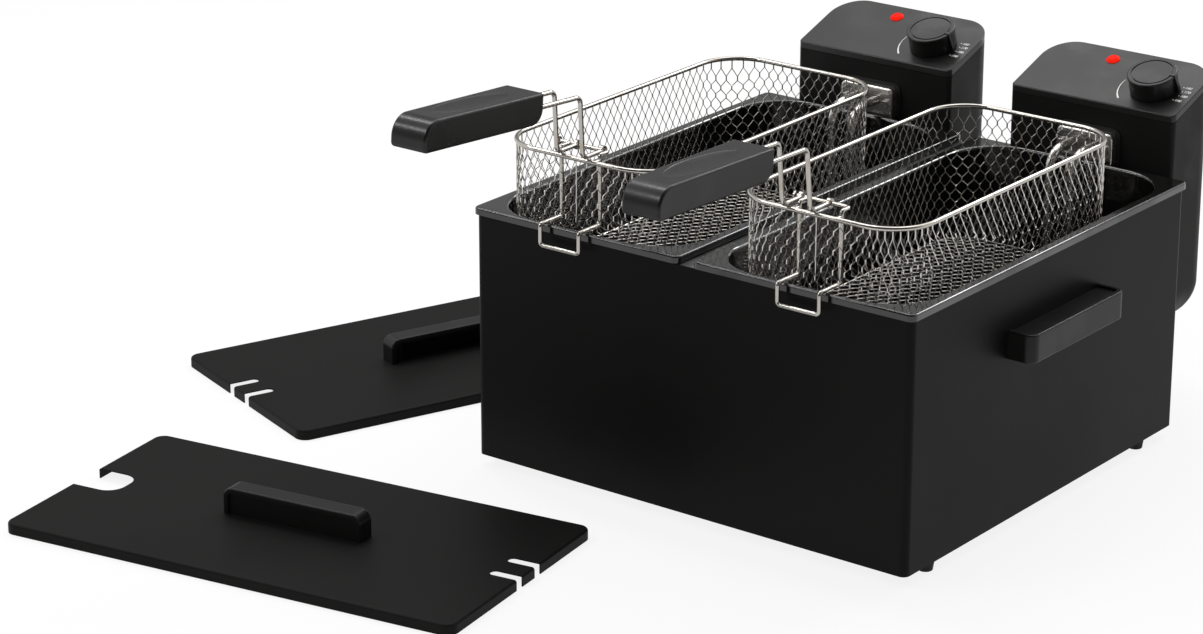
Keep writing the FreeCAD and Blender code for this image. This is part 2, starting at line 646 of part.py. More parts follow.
def thermostat_knob(side):
    """Turned knob: waisted skirt, wider top rim with a ring groove, pointer and shaft bore."""
    body = new_body("thermostat_knob")
    radius, height = dim("knob_diameter") / 2, dim("knob_height")
    skirt, rim, bore = radius - 0.7, height - 2.4, dim("shaft") / 2 + dim("running_play")
    groove, groove_width = radius - 4.5, 1.4
    section = add_sketch(body, "XZ_Plane")
    outline(section, [(bore, 0, 0), (skirt, 0, 0.8), (skirt, rim, 0), (radius, rim + 0.6, 0.5),
                      (radius, height, 1.2), (groove + groove_width, height, 0),
                      (groove + groove_width, height - 0.8, 0), (groove, height - 0.8, 0),
                      (groove, height, 0), (0, height, 0), (0, 11, 0), (bore, 11, 0)])
    turn = body.newObject("PartDesign::Revolution", "Revolution")
    turn.Profile = section
    turn.ReferenceAxis = (section, ["V_Axis"])
    turn.Angle = 360
    pointer = add_sketch(body, "XZ_Plane")
    outline(pointer, [(groove, height - 3, 0), (skirt - 2, 0.6, 0), (dim("pointer_reach"), 0.6, 0),
                      (radius + 0.8, height - 2, 0), (radius + 0.4, height + 0.7, 0),
                      (groove, height + 0.7, 0)])
    pad(body, pointer, "3.2", both_ways=True)
    lift = panel_place(side, dim("knob_u"), dim("knob_v"), 0.6)
    keep(f"thermostat_knob_{side}", body, lift.multiply(at(turn=POINTER_REST[side])))


def indicator_lens(side):
    """Domed lens with a stem in the panel."""
    body = new_body("indicator_lens")
    radius, stem, dome = dim("lamp_diameter") / 2, dim("lamp_diameter") / 2 - 0.9, 2.4
    section = add_sketch(body, "XZ_Plane")
    outline(section, [(0, -5, 0), (stem, -5, 0), (stem, 0, 0), (radius, 0, 0), (radius, 0.8, 0.5),
                      (radius * 0.62, dome, 2.4), (0, dome, 0)])
    turn = body.newObject("PartDesign::Revolution", "Revolution")
    turn.Profile = section
    turn.ReferenceAxis = (section, ["V_Axis"])
    turn.Angle = 360
    keep(f"indicator_lens_{side}", body, panel_place(side, dim("lamp_u"), dim("lamp_v")))


def element_bracket(side):
    """Stainless cap on the housing's front, the frame behind it and its two screws."""
    front, level = dim("control_front"), dim("bracket_level")
    centre = at(SIDES[side] * dim("pan_offset"))
    gasket = new_body("bracket_gasket")
    frame = add_sketch(gasket, "XZ_Plane", at(y=level, z=-front))
    rounded_rectangle(frame, "dims.bracket_width + 6", "dims.bracket_height + 6", "7")
    pad(gasket, frame, "dims.gasket_thickness")
    window = add_sketch(gasket, "XZ_Plane", at(y=level, z=-front + 5))
    rounded_rectangle(window, "32", "18", "3")
    pocket(gasket, window, "20")
    screw_holes(gasket, front)
    keep(f"bracket_gasket_{side}", gasket, centre)

    cap = new_body("element_bracket")
    back = front - dim("gasket_thickness")
    shell = add_sketch(cap, "XZ_Plane", at(y=level, z=-back))
    rounded_rectangle(shell, "dims.bracket_width", "dims.bracket_height", "5")
    pad(cap, shell, "dims.bracket_depth")
    face = back - dim("bracket_depth")
    soften(cap, "2", lambda edge: edge.BoundBox.YLength < 0.01 and abs(edge.BoundBox.YMin - face) < 0.01)
    inside = add_sketch(cap, "XZ_Plane", at(y=level, z=-back))
    rounded_rectangle(inside, "32", "18", "3")
    pocket(cap, inside, "dims.bracket_depth - 1.5", backwards=True)
    tubes = add_sketch(cap, "XZ_Plane", at(z=-face + 5))
    half_gap = dim("tube_gap") / 2
    centres = [(x, dim("tube_level")) for x in (-half_gap, half_gap)]
    circle_row(tubes, centres, "dims.tube_diameter + 0.4")
    circle_row(tubes, [(0, dim("bracket_level") - 6)], "dims.capillary + 0.4")
    pocket(cap, tubes, "20")
    screw_holes(cap, front)
    keep(f"element_bracket_{side}", cap, centre)

    spacing = dim("bracket_screw")
    middle, forward = SIDES[side] * dim("pan_offset"), Rotation(Vector(1, 0, 0), -90)
    places = [Placement(Vector(middle + x, face, level), forward)
              for x in (-spacing, spacing)]
    keep(f"bracket_screws_{side}", copies(hexagon_screw(), places))


def screw_holes(body, front):
    """Clearance holes for the two bracket screws."""
    spacing, level = dim("bracket_screw"), dim("bracket_level")
    holes = add_sketch(body, "XZ_Plane", at(z=-front + 30))
    circle_row(holes, [(-spacing, level), (spacing, level)], "4.4")
    pocket(body, holes, "60", both_ways=True)


def hexagon_screw():
    """Hexagon screw along Z with a washer face: shank up from 0, washer and head below."""
    body = new_body("HexagonScrew")
    washer = add_sketch(body, "XY_Plane")
    circle_row(washer, [(0, 0)], "9")
    pad(body, washer, "0.8", backwards=True)
    head = add_sketch(body, "XY_Plane", at(z=-0.8))
    corner = 3.5 / math.cos(math.radians(30))
    outline(head, [(corner * math.cos(math.radians(60 * i)), corner * math.sin(math.radians(60 * i)), 0)
                   for i in range(6)])
    pad(body, head, "3", backwards=True)
    shank = add_sketch(body, "XY_Plane")
    circle_row(shank, [(0, 0)], "4")
    pad(body, shank, "16")
    return body


def heating_element(side):
    """Tubular element: out of the bracket, down the back of the sump and round it in four runs."""
    centre = SIDES[side] * dim("pan_offset")
    start, leg = dim("control_front") + 12, dim("tube_leg")
    inner, level = dim("tube_gap") / 2, dim("heater_level")
    loop, front, back = dim("heater_loop") / 2, dim("heater_front"), dim("heater_return")
    near, far = loop, 3 * loop
    half = [(-inner, start, dim("tube_level")), (-inner, leg, dim("tube_level")), (-inner, leg, level),
            (-far, leg, level), (-far, front, level), (-near, front, level), (-near, back, level)]
    bends = [0, 18, 14, 20, loop * 0.98, loop * 0.98, loop * 0.98]
    points = half + [(-x, y, z) for x, y, z in reversed(half)]
    path = wire_path(points, bends + bends[::-1])
    keep(f"heating_element_{side}", rod(path, "dims.tube_diameter"), at(centre))


def thermostat_bulb(side):
    """Capillary out of the bracket and down the back, ending in the sensing bulb over the element."""
    centre = SIDES[side] * dim("pan_offset")
    start, exit_z = dim("control_front") + 12, dim("bracket_level") - 6
    leg, level, bulb_from, bulb_to = dim("bulb_leg"), dim("heater_level") + 13, 100, 10
    path = wire_path([(0, start, exit_z), (0, leg, exit_z), (0, leg, level), (0, bulb_from - 5, level)], 10)
    bulb = primitive("Cylinder", at(0, bulb_from, level, 90, (1, 0, 0)),
                     Radius="dims.bulb_diameter / 2", Height=f"{bulb_from - bulb_to}")
    keep(f"thermostat_bulb_{side}", fuse(rod(path, "dims.capillary"), bulb), at(centre))


def overheat_switch(side):
    """Case of the overheat switch on the inside of the rear wall, and its reset button."""
    centre, rear = SIDES[side] * dim("pan_offset"), dim("control_rear")
    x, z, wall = centre + dim("reset_u"), dim("reset_z"), 8
    half, depth = 13, 26
    case = primitive("Box", at(x - half, rear - wall - depth, z - half),
                     Length=f"{2 * half}", Width=f"{depth}", Height=f"{2 * half}")
    bore = primitive("Cylinder", at(x, rear - wall - 8, z, -90, (1, 0, 0)),
                     Radius="dims.reset_diameter / 2 + 0.4", Height="20")
    keep(f"thermal_cutout_{side}", boolean("Cut", case, bore))
    body = new_body("reset_button")
    section = add_sketch(body, "XY_Plane")
    radius, length = dim("reset_diameter") / 2, wall + 5
    outline(section, [(0, 0, 0), (radius, 0, 0), (radius, length, 1.4), (0, length + 0.5, 0)])
    turn = body.newObject("PartDesign::Revolution", "Revolution")
    turn.Profile = section
    turn.ReferenceAxis = (section, ["V_Axis"])
    turn.Angle = 360
    keep(f"reset_button_{side}", body, at(x, rear - wall - 3, z))


def cord_gland(side):
    """Ring in the rear wall."""
    body = new_body("cord_gland")
    radius, bore, wall = dim("gland_diameter") / 2, 4, 8
    section = add_sketch(body, "XY_Plane")
    outline(section, [(bore, -wall - 2, 0), (radius, -wall - 2, 0), (radius, 0, 0), (radius + 3, 0, 0),
                      (radius + 3, 3, 1.5), (bore, 6, 0)])
    turn = body.newObject("PartDesign::Revolution", "Revolution")
    turn.Profile = section
    turn.ReferenceAxis = (section, ["V_Axis"])
    turn.Angle = 360
    place = at(SIDES[side] * dim("pan_offset") + dim("gland_u"), dim("control_rear"), dim("gland_z"))
    keep(f"cord_gland_{side}", body, place)


def basket_place(side):
    """Middle of a basket's rim."""
    shift = dim("pan_offset") + dim("basket_shift")
    return at(SIDES[side] * shift, dim("basket_front") + dim("basket_length") / 2, dim("basket_level"))


def diamond_cells(sketch, width, height):
    """Staggered diamond openings over a panel centred on the sketch, clear of its edges."""
    cell_w, cell_h, margin = dim("cell_width"), dim("cell_height"), dim("cell_strand")
    half_w = cell_w / 2 - margin / 2
    half_h = half_w * cell_h / cell_w
    columns, rows = int(width / cell_w) + 1, int(height / cell_h) + 1
    for column in range(-2 * columns, 2 * columns + 1):
        for row in range(-2 * rows, 2 * rows + 1):
            if (column + row) % 2:
                continue
            x, y = column * cell_w / 2, row * cell_h / 2
            if abs(x) + half_w > width / 2 - 1 or abs(y) + half_h > height / 2 - 1:
                continue
            outline(sketch, [(x - half_w, y, 0), (x, y - half_h, 0),
                             (x + half_w, y, 0), (x, y + half_h, 0)])


def mesh_panel(width, height):
    """Flat mesh panel on the XY plane, its thickness half to each side."""
    body = new_body("MeshPanel")
    sheet_face = add_sketch(body, "XY_Plane")
    rectangle(sheet_face, -width / 2, -height / 2, width / 2, height / 2)
    diamond_cells(sheet_face, width, height)
    pad(body, sheet_face, "dims.mesh_wall", both_ways=True)
    return body


def corner_strip(bottom, top):
    """Part of a round mesh corner about Z, from X on, with a row of tall openings."""
    body = new_body("CornerStrip")
    corner, wall, turn = dim("basket_corner"), dim("mesh_wall"), 90 / CORNER_STRIPS
    section = add_sketch(body, "XZ_Plane")
    rectangle(section, corner - wall / 2, bottom, corner + wall / 2, top)
    bend = body.newObject("PartDesign::Revolution", "Revolution")
    bend.Profile = section
    bend.ReferenceAxis = (section, ["V_Axis"])
    bend.Angle = turn
    cells = add_sketch(body, "YZ_Plane", at(turn=turn / 2, axis=(0, 1, 0)))
    half_w, strand = dim("corner_cell") / 2, dim("cell_strand")
    pitch = (top - bottom - strand) / 3
    for row in range(3):
        low, high = bottom + row * pitch + strand, bottom + (row + 1) * pitch
        outline(cells, [(-half_w, low + half_w, 0), (0, low, 0), (half_w, low + half_w, 0),
                        (half_w, high - half_w, 0), (0, high, 0), (-half_w, high - half_w, 0)])
    pocket(body, cells, "4 * dims.basket_corner", both_ways=True)
    return body


def basket_mesh(side):
    """Open walls and floor under the rim wire: four flat panels, four corners and a floor."""
    wall, corner = dim("mesh_wall"), dim("basket_corner")
    half_w, half_l = dim("basket_width") / 2, dim("basket_length") / 2
    top, bottom = -dim("rim_wire") / 2, -dim("basket_depth") + wall
    height, middle = top - bottom, (top + bottom) / 2
    across, along = 2 * (half_w - corner), 2 * (half_l - corner)
    upright = Rotation(Vector(1, 0, 0), 90)
    sideways = Rotation(Vector(0, 0, 1), 90) * upright
    pieces = []
    for sign in (-1, 1):
        end = mesh_panel(across, height)
        end.Placement = Placement(Vector(0, sign * half_l, middle), upright)
        flank = mesh_panel(along, height)
        flank.Placement = Placement(Vector(sign * half_w, 0, middle), sideways)
        pieces += [end, flank]
        if sign < 0:
            passages = add_sketch(end, "XY_Plane")
            hook_v = hook_seat() - dim("basket_level") - middle
            circle_row(passages, [(x, hook_v) for x in hook_flanks()], "dims.hook_wire + 1.2")
            pocket(end, passages, "10", both_ways=True)
    corners = [(1, 1), (-1, 1), (-1, -1), (1, -1)]
    places = [at(sign_x * (half_w - corner), sign_y * (half_l - corner), 0,
                 90 * (quarter + strip / CORNER_STRIPS))
              for quarter, (sign_x, sign_y) in enumerate(corners) for strip in range(CORNER_STRIPS)]
    pieces.append(copies(corner_strip(bottom, top), places))
    floor = new_body("MeshFloor")
    plate = add_sketch(floor, "XY_Plane", at(z=bottom - wall))
    rounded_rectangle(plate, "dims.basket_width + dims.mesh_wall", "dims.basket_length + dims.mesh_wall",
                      "dims.basket_corner + dims.mesh_wall / 2")
    pad(floor, plate, "dims.mesh_wall")
    cells = add_sketch(floor, "XY_Plane", at(z=bottom))
    diamond_cells(cells, across + corner, along + corner)
    pocket(floor, cells)
    pieces.append(floor)
    keep(f"basket_mesh_{side}", compound(*pieces), basket_place(side))


def basket_rim(side):
    """Rim wire bent to a rectangle with round corners."""
    half_w, half_l = dim("basket_width") / 2, dim("basket_length") / 2
    corners = [(-half_w, -half_l, 0), (half_w, -half_l, 0), (half_w, half_l, 0), (-half_w, half_l, 0)]
    path = wire_path(corners, dim("basket_corner"), closed=True)
    keep(f"basket_rim_{side}", rod(path, "dims.rim_wire"), basket_place(side))


def middle_line(side):
    """Middle line of a basket, in X."""
    return SIDES[side] * (dim("pan_offset") + dim("basket_shift"))


def hook_flanks():
    """Left and right flank of the hook's wire loop, in X from the basket's middle line."""
    return dim("hook_shift") - dim("hook_half"), dim("hook_shift") + dim("hook_half")


def hook_seat():
    """Height of the hook's wire where it lies on the pan's lip."""
    return dim("rim_height") + dim("hook_wire") / 2 + dim("hook_gap")


def basket_hook(side):
    """Wire loop over the pan's lip, up inside the basket and back to the pivot bar, stayed to the rim."""
    left, right = hook_flanks()
    pivot_y, pivot_z, rods, seat = dim("pivot_y"), dim("pivot_z"), dim("rod_y"), hook_seat()
    reach, drop, bar_end = -dim("hook_reach"), dim("hook_drop"), -dim("bar_end")
    flank = [(pivot_y, pivot_z), (rods, pivot_z), (rods, seat), (reach, seat), (reach, drop)]
    points = [(left, y, z) for y, z in flank] + [(right, y, z) for y, z in reversed(flank)]
    loop = rod(wire_path(points, dim("hook_bend"), closed=True), "dims.hook_wire")
    bar = primitive("Cylinder", at(bar_end, pivot_y, pivot_z, 90, (0, 1, 0)),
                    Radius="dims.hook_wire / 2", Height=f"dims.bar_end + {left} + dims.hook_bend / 2")
    stop = primitive("Cylinder", at(bar_end, pivot_y, pivot_z, -90, (0, 1, 0)),
                     Radius="dims.hook_wire", Height="dims.bar_stop")
    rim_side = dim("basket_front") + dim("rim_wire") / 2
    stays = [primitive("Cylinder", at(x, rim_side, dim("basket_level"), -90, (1, 0, 0)),
                       Radius="dims.stay / 2", Height=f"{rods - rim_side}") for x in (left, right)]
    keep(f"basket_hook_{side}", fuse(loop, bar, stop, *stays), at(middle_line(side)))


def mirrored_path(flank):
    """Centre line of a rod bent alike on both sides: along the left flank and back by the right."""
    half = dim("leg_half")
    points = [(-half, y, z) for y, z in flank] + [(half, y, z) for y, z in reversed(flank)]
    return wire_path(points, dim("handle_bend"))


def folding_handle(side):
    """Handle wire with an eye at each end on the pivot bar, and the grip's two halves on it."""
    slide, lean, rise = HANDLE_SET[side]
    place = at(middle_line(side) + slide)
    leg_top, wire_end = (dim("leg_y") - lean, dim("handle_level")), (dim("wire_end"), dim("handle_level"))
    raised = Placement(Vector(), Rotation(Vector(1, 0, 0), -rise), Vector(0, *leg_top))
    end = raised.multVec(Vector(0, *wire_end))
    path = mirrored_path([(dim("pivot_y"), dim("pivot_z")), (dim("leg_y"), dim("pivot_z")), leg_top,
                          (end.y, end.z)])
    eyes, bores = [], []
    for x in (-dim("leg_half"), dim("leg_half")):
        eye_x = x - dim("eye_width") / 2
        eyes.append(primitive("Cylinder", at(eye_x, dim("pivot_y"), dim("pivot_z"), 90, (0, 1, 0)),
                              Radius="dims.eye_diameter / 2", Height="dims.eye_width"))
        bores.append(primitive("Cylinder", at(eye_x - 5, dim("pivot_y"), dim("pivot_z"), 90, (0, 1, 0)),
                               Radius="dims.hook_wire / 2 + dims.running_play",
                               Height="dims.eye_width + 10"))
    wire = boolean("Cut", fuse(rod(path, "dims.handle_wire"), *eyes), fuse(*bores))
    keep(f"handle_wire_{side}", wire, place)

    grip = grip_form()
    width, front = dim("grip_width"), dim("grip_front")
    upper = primitive("Box", at(-width, front - 20, dim("handle_level")),
                      Length="2 * dims.grip_width", Width="400", Height="100")
    channel = rod(mirrored_path([leg_top, wire_end]), "dims.handle_wire + 2 * dims.running_play")
    for half, kind in (("top", "Common"), ("bottom", "Cut")):
        piece = boolean("Cut", boolean(kind, grip, upper), channel)
        keep(f"grip_{half}_{side}", piece, place.multiply(raised))


def grip_form():
    """Whole grip: rounded nose, tapered sides, soft edges and a shallow thumb dip on top."""
    body = new_body("GripForm")
    rear, front, top, bottom = (dim(f"grip_{name}") for name in ("rear", "front", "top", "bottom"))
    profile = add_sketch(body, "YZ_Plane")
    outline(profile, [(front, bottom, 4), (rear, bottom, 13), (rear, top, 1.5), (front, top, 17)])
    pad(body, profile, "dims.grip_width", both_ways=True)
    wedges = add_sketch(body, "XY_Plane", at(z=top + 10))
    half, taper = dim("grip_width") / 2, dim("grip_taper")
    for sign in (-1, 1):
        outline(wedges, [(sign * half, rear, 0), (sign * (half + 5), front - 10, 0),
                         (sign * (half - taper), front - 10, 0)])
    pocket(body, wedges)
    soften(body, "2.2", lambda edge: edge.BoundBox.ZMax > bottom + 3 and edge.Length > 15
           and edge.BoundBox.XLength < taper + 0.5 and edge.BoundBox.YLength > 1)
    dip_depth, dip_length, dip_width = 1.5, 44, 14
    dip = primitive("Ellipsoid", at(0, (rear + front) / 2 + 4, top), Radius1=f"{dip_depth}",
                    Radius2=f"{dip_width}", Radius3=f"{dip_length}")
    return boolean("Cut", body, dip)


def lid(side):
    """Sheet lid with a turned-down rim, wire slots in front and a notch for the bracket behind."""
    body = new_body("lid_plate")
    sign = SIDES[side]
    wall = "dims.lid_wall"
    plate = add_sketch(body, "XY_Plane")
    rounded_rectangle(plate, "dims.lid_width", "dims.lid_length", "dims.lid_corner")
    pad(body, plate, "dims.lid_height")
    soften(body, "dims.lid_round", level_at(dim("lid_height")))
    inside = add_sketch(body, "XY_Plane")
    rounded_rectangle(inside, f"dims.lid_width - 2 * {wall}", f"dims.lid_length - 2 * {wall}",
                      f"dims.lid_corner - {wall}")
    pocket(body, inside, f"dims.lid_height - {wall}", backwards=True)
    edge, slot_half = dim("lid_length") / 2, dim("slot_width") / 2
    cuts = add_sketch(body, "XY_Plane", at(z=dim("lid_height")))
    for wire_x in (-dim("slot_half"), dim("slot_half")):
        x, end = sign * dim("slot_shift") + wire_x, -edge + dim("slot_depth")
        outline(cuts, [(x - slot_half, -edge - 5, 0), (x + slot_half, -edge - 5, 0),
                       (x + slot_half, end, slot_half * 0.95), (x - slot_half, end, slot_half * 0.95)])
    notch, half_notch = sign * dim("notch_shift"), dim("notch_width") / 2
    notch_end = edge - dim("notch_depth")
    outline(cuts, [(notch - half_notch, notch_end, 15), (notch + half_notch, notch_end, 15),
                   (notch + half_notch, edge + 5, 0), (notch - half_notch, edge + 5, 0)])
    pocket(body, cuts)
    spacing = dim("lid_grip_screw")
    holes = add_sketch(body, "XY_Plane", at(z=dim("lid_height")))
    circle_row(holes, [(0, -spacing), (0, spacing)], "4.4")
    pocket(body, holes)
    x, y, turn = LID_PLACES[side]
    place = at(x, y, 0, turn)
    keep(f"lid_plate_{side}", body, place)
    keep(f"lid_handle_{side}", pull_handle("lid_grip", spacing), place.multiply(at(z=dim("lid_height"))))
    under = dim("lid_height") - dim("lid_wall")
    screw = pan_head_screw("4", "13", "8", "2.4")
    places = [place.multiply(at(0, v, under)) for v in (-spacing, spacing)]
    keep(f"lid_handle_screws_{side}", copies(screw, places))


cabinet_shell()
rear_panel()
base_plate()
feet()
centre_rail()
side_handles()
hanger_tabs()
SIDE_PARTS = (oil_pan, control_housing, control_cover, thermostat, thermostat_knob, indicator_lens,
              element_bracket, heating_element, thermostat_bulb, overheat_switch, cord_gland,
              basket_mesh, basket_rim, basket_hook, folding_handle, lid)
for side_name in SIDES:
    for make in SIDE_PARTS:
        make(side_name)
doc.recompute()

failed = [(item.Label, [user.Label for user in item.InList]) for item in doc.Objects
          if {"Invalid", "Error"} & set(item.State)]
bad = [label for label, item in parts.items() if item.Shape.isNull() or not item.Shape.isValid()]
if failed or bad:
    raise RuntimeError(f"failed objects {failed}, bad shapes {bad}")
os.makedirs("parts", exist_ok=True)
for label, item in parts.items():
    item.Shape.exportStep(f"parts/{label}.step")
    print(label, len(item.Shape.Solids), round(item.Shape.Volume / 1000, 2))
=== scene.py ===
"""Looks of a double deep fryer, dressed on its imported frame: paint, enamel, plastic, wire and studio."""
import logging
import math
from dataclasses import dataclass
from enum import Enum
from typing import Any, ClassVar, Iterable, Mapping, Sequence, Union

import bmesh
import bpy
from mathutils import Matrix, Vector


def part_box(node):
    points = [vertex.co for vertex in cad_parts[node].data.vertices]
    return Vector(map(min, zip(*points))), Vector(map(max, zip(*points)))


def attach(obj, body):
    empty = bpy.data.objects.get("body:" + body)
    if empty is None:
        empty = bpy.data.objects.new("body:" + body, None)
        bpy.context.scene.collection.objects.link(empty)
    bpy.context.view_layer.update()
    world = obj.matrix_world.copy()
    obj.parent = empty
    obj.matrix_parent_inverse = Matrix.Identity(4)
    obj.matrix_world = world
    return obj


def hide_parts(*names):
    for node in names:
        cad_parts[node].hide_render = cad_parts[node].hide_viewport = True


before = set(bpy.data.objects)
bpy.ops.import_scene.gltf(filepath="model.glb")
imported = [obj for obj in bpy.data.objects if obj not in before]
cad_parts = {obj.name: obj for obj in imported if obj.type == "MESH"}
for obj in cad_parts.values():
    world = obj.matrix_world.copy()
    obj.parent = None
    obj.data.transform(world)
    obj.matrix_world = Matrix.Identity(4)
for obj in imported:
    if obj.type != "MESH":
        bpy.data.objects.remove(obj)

log = logging.getLogger("deep_fryer")
MM = 0.001
NEARLY_NOTHING = 1e-9
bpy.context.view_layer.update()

Colour = tuple[float, float, float]
Term = Union["Signal", float]


class Side(Enum):
    """The two halves of the fryer, as seen from the front."""

    LEFT = "left"
    RIGHT = "right"

    @property
    def sign(self) -> int:
        """Direction of this half along X."""
        return -1 if self is Side.LEFT else 1

    def node(self, part: str) -> str:
        """Name of this half's copy of a part."""
        return f"{part}_{self.value}"


class Signal:
    """A shader socket that is added, scaled and compared like a number."""

    def __init__(self, tree: "NodeTree", socket: bpy.types.NodeSocket) -> None:
        """Keep the socket and the tree that it belongs to."""
        self.tree = tree
        self.socket = socket

    def _math(self, operation: str, first: Term, second: Term) -> "Signal":
        """Join two terms by one Math node."""
        return self.tree.node("ShaderNodeMath", {"operation": operation}, {0: first, 1: second})

    def __add__(self, other: Term) -> "Signal":
        """Sum."""
        return self._math("ADD", self, other)

    def __radd__(self, other: Term) -> "Signal":
        """Sum, from the right."""
        return self._math("ADD", other, self)

    def __sub__(self, other: Term) -> "Signal":
        """Difference."""
        return self._math("SUBTRACT", self, other)

    def __mul__(self, other: Term) -> "Signal":
        """Product."""
        return self._math("MULTIPLY", self, other)

    def least(self, other: Term) -> "Signal":
        """The smaller of the two."""
        return self._math("MINIMUM", self, other)


class NodeTree:
    """Node tree of a material or of the world."""

    def __init__(self, owner: bpy.types.Material | bpy.types.World) -> None:
        """Start an empty tree.

        Args:
            owner: The material or the world.
        """
        owner.use_nodes = True
        self.tree = owner.node_tree
        self.tree.nodes.clear()

    def node(self, kind: str, settings: Mapping[str, Any] | None = None,
             inputs: Mapping[str | int, Any] | None = None, output: str | int = 0) -> Signal:
        """Make any node.

        Args:
            kind: Node type.
            settings: Properties of the node.
            inputs: Values or signals by socket name or number.
            output: Socket to hand on.

        Returns:
            The chosen output.
        """
        made = self.tree.nodes.new(kind)
        for name, value in (settings or {}).items():
            setattr(made, name, value)
        for name, value in (inputs or {}).items():
            if isinstance(value, Signal):
                self.tree.links.new(value.socket, made.inputs[name])
            else:
                made.inputs[name].default_value = value
        return Signal(self, made.outputs[output])

    def between(self, factor: Signal, low: float, high: float,
                start: float = 0.3, end: float = 0.7) -> Signal:
        """Spread a factor over a range of values.

        Args:
            factor: What to spread.
            low: Value at the start.
            high: Value at the end.
            start: Factor that gives the low value.
            end: Factor that gives the high value.

        Returns:
            The value.
        """
        inputs = {"Value": factor, "From Min": start, "From Max": end, "To Min": low, "To Max": high}
        return self.node("ShaderNodeMapRange", {"interpolation_type": "SMOOTHSTEP"}, inputs)

    def mask(self, factor: Signal, start: float = 0.3, end: float = 0.7) -> Signal:
        """Nought where a factor is under the start, and one where it is over the end."""
        return self.between(factor, 0.0, 1.0, start, end)

    def ray(self, kind: str) -> Signal:
        """One for rays of a kind, else nought."""
        return self.node("ShaderNodeLightPath", output=f"Is {kind} Ray")

    def seen(self) -> Signal:
        """One for camera, glossy and transmission rays, else nought."""
        return (self.ray("Camera") + self.ray("Glossy") + self.ray("Transmission")).least(1.0)


class Shader(NodeTree):
    """Node tree of one material."""

    def __init__(self, name: str) -> None:
        """Start an empty material.

        Args:
            name: Name of the material.
        """
        self.material = bpy.data.materials.new(name)
        super().__init__(self.material)

    def place(self) -> Signal:
        """Object coordinates, which are metres in the fryer's own frame."""
        return self.node("ShaderNodeTexCoord", output="Object")

    def stretched(self, scale: Sequence[float], turn: Sequence[float] = (0, 0, 0)) -> Signal:
        """Object coordinates, turned and scaled along each axis."""
        return self.node("ShaderNodeMapping", None,
                         {"Vector": self.place(), "Scale": tuple(scale), "Rotation": tuple(turn)})

    def noise(self, scale: float, detail: float = 3.0, where: Signal | None = None) -> Signal:
        """Smooth noise from 0 to 1.

        Args:
            scale: Bumps per metre.
            detail: Octaves.
            where: Coordinates, object ones if left out.

        Returns:
            The noise value.
        """
        inputs = {"Vector": where or self.place(), "Scale": scale, "Detail": detail}
        return self.node("ShaderNodeTexNoise", None, inputs)

    def blend(self, factor: Signal, first: Colour | Signal, second: Colour | Signal) -> Signal:
        """Blend two colours."""
        ends = [item if isinstance(item, Signal) else (*item, 1.0) for item in (first, second)]
        return self.node("ShaderNodeMix", {"data_type": "RGBA"},
                         {"Factor": factor, 6: ends[0], 7: ends[1]}, output=2)

    def cells(self, scale: float, feature: str = "F1") -> Signal:
        """Distance to the nearest of many scattered points.

        Args:
            scale: Points per metre.
            feature: Which distance to take.

        Returns:
            The distance.
        """
        inputs = {"Vector": self.place(), "Scale": scale}
        return self.node("ShaderNodeTexVoronoi", {"feature": feature}, inputs)

    def bump(self, height: Signal, distance: float) -> Signal:
        """Turn a height into a normal.

        Args:
            height: Height from 0 to 1.
            distance: Real height in metres.

        Returns:
            The bumped normal.
        """
        return self.node("ShaderNodeBump", None, {"Height": height, "Distance": distance, "Strength": 1.0})

    def finish(self, **inputs: Any) -> bpy.types.Material:
        """Close the tree with a Principled shader.

        Args:
            **inputs: Values or signals by socket name, with _ for a space.

        Returns:
            The finished material.
        """
        named = {name.replace("_", " "): value for name, value in inputs.items()}
        return self.close(self.node("ShaderNodeBsdfPrincipled", None, named))

    def close(self, surface: Signal) -> bpy.types.Material:
        """Close the tree with any shader.

        Args:
            surface: The shader.

        Returns:
            The finished material.
        """
        output = self.tree.nodes.new("ShaderNodeOutputMaterial")
        self.tree.links.new(surface.socket, output.inputs["Surface"])
        return self.material


@dataclass(frozen=True)
class Finish:
    """A surface of the fryer.

    Attributes:
        slot: Material slot of the record.
        colour: Main colour.
        roughness: Mean roughness.
    """

    slot: str
    colour: Colour
    roughness: float

    def tone(self, factor: float) -> Colour:
        """The main colour, made darker or lighter."""
        return tuple(channel * factor for channel in self.colour)

    def material(self) -> bpy.types.Material:
        """Make the material of this finish."""
        raise NotImplementedError


@dataclass(frozen=True)
class SatinPaint(Finish):
    """Stoved paint on sheet steel: orange peel, faint handling marks and fine rubbed scratches.

    Attributes:
        peel: Height of the orange peel in metres.
        specular: Specular level.
    """

    peel: float = 3e-6
    specular: float = 0.08

    def material(self) -> bpy.types.Material:
        """Make the paint."""
        shader = Shader(self.slot)
        cloud = shader.noise(scale=7.0, detail=4.0)
        peel = shader.noise(scale=1100.0, detail=2.0)
        strokes = shader.stretched(scale=(1.0, 0.06, 1.0), turn=(0.0, 0.0, 0.6))
        worn = shader.mask(shader.noise(scale=260.0, detail=4.0, where=strokes), start=0.66, end=0.8)
        base = shader.blend(shader.mask(cloud), self.tone(0.86), self.tone(1.14))
        return shader.finish(
            Base_Color=shader.blend(worn * 0.25, base, self.tone(1.8)),
            Roughness=shader.between(cloud, self.roughness - 0.04, self.roughness + 0.05) - worn * 0.05,
            Specular_IOR_Level=self.specular,
            Normal=shader.bump(peel, self.peel),
        )


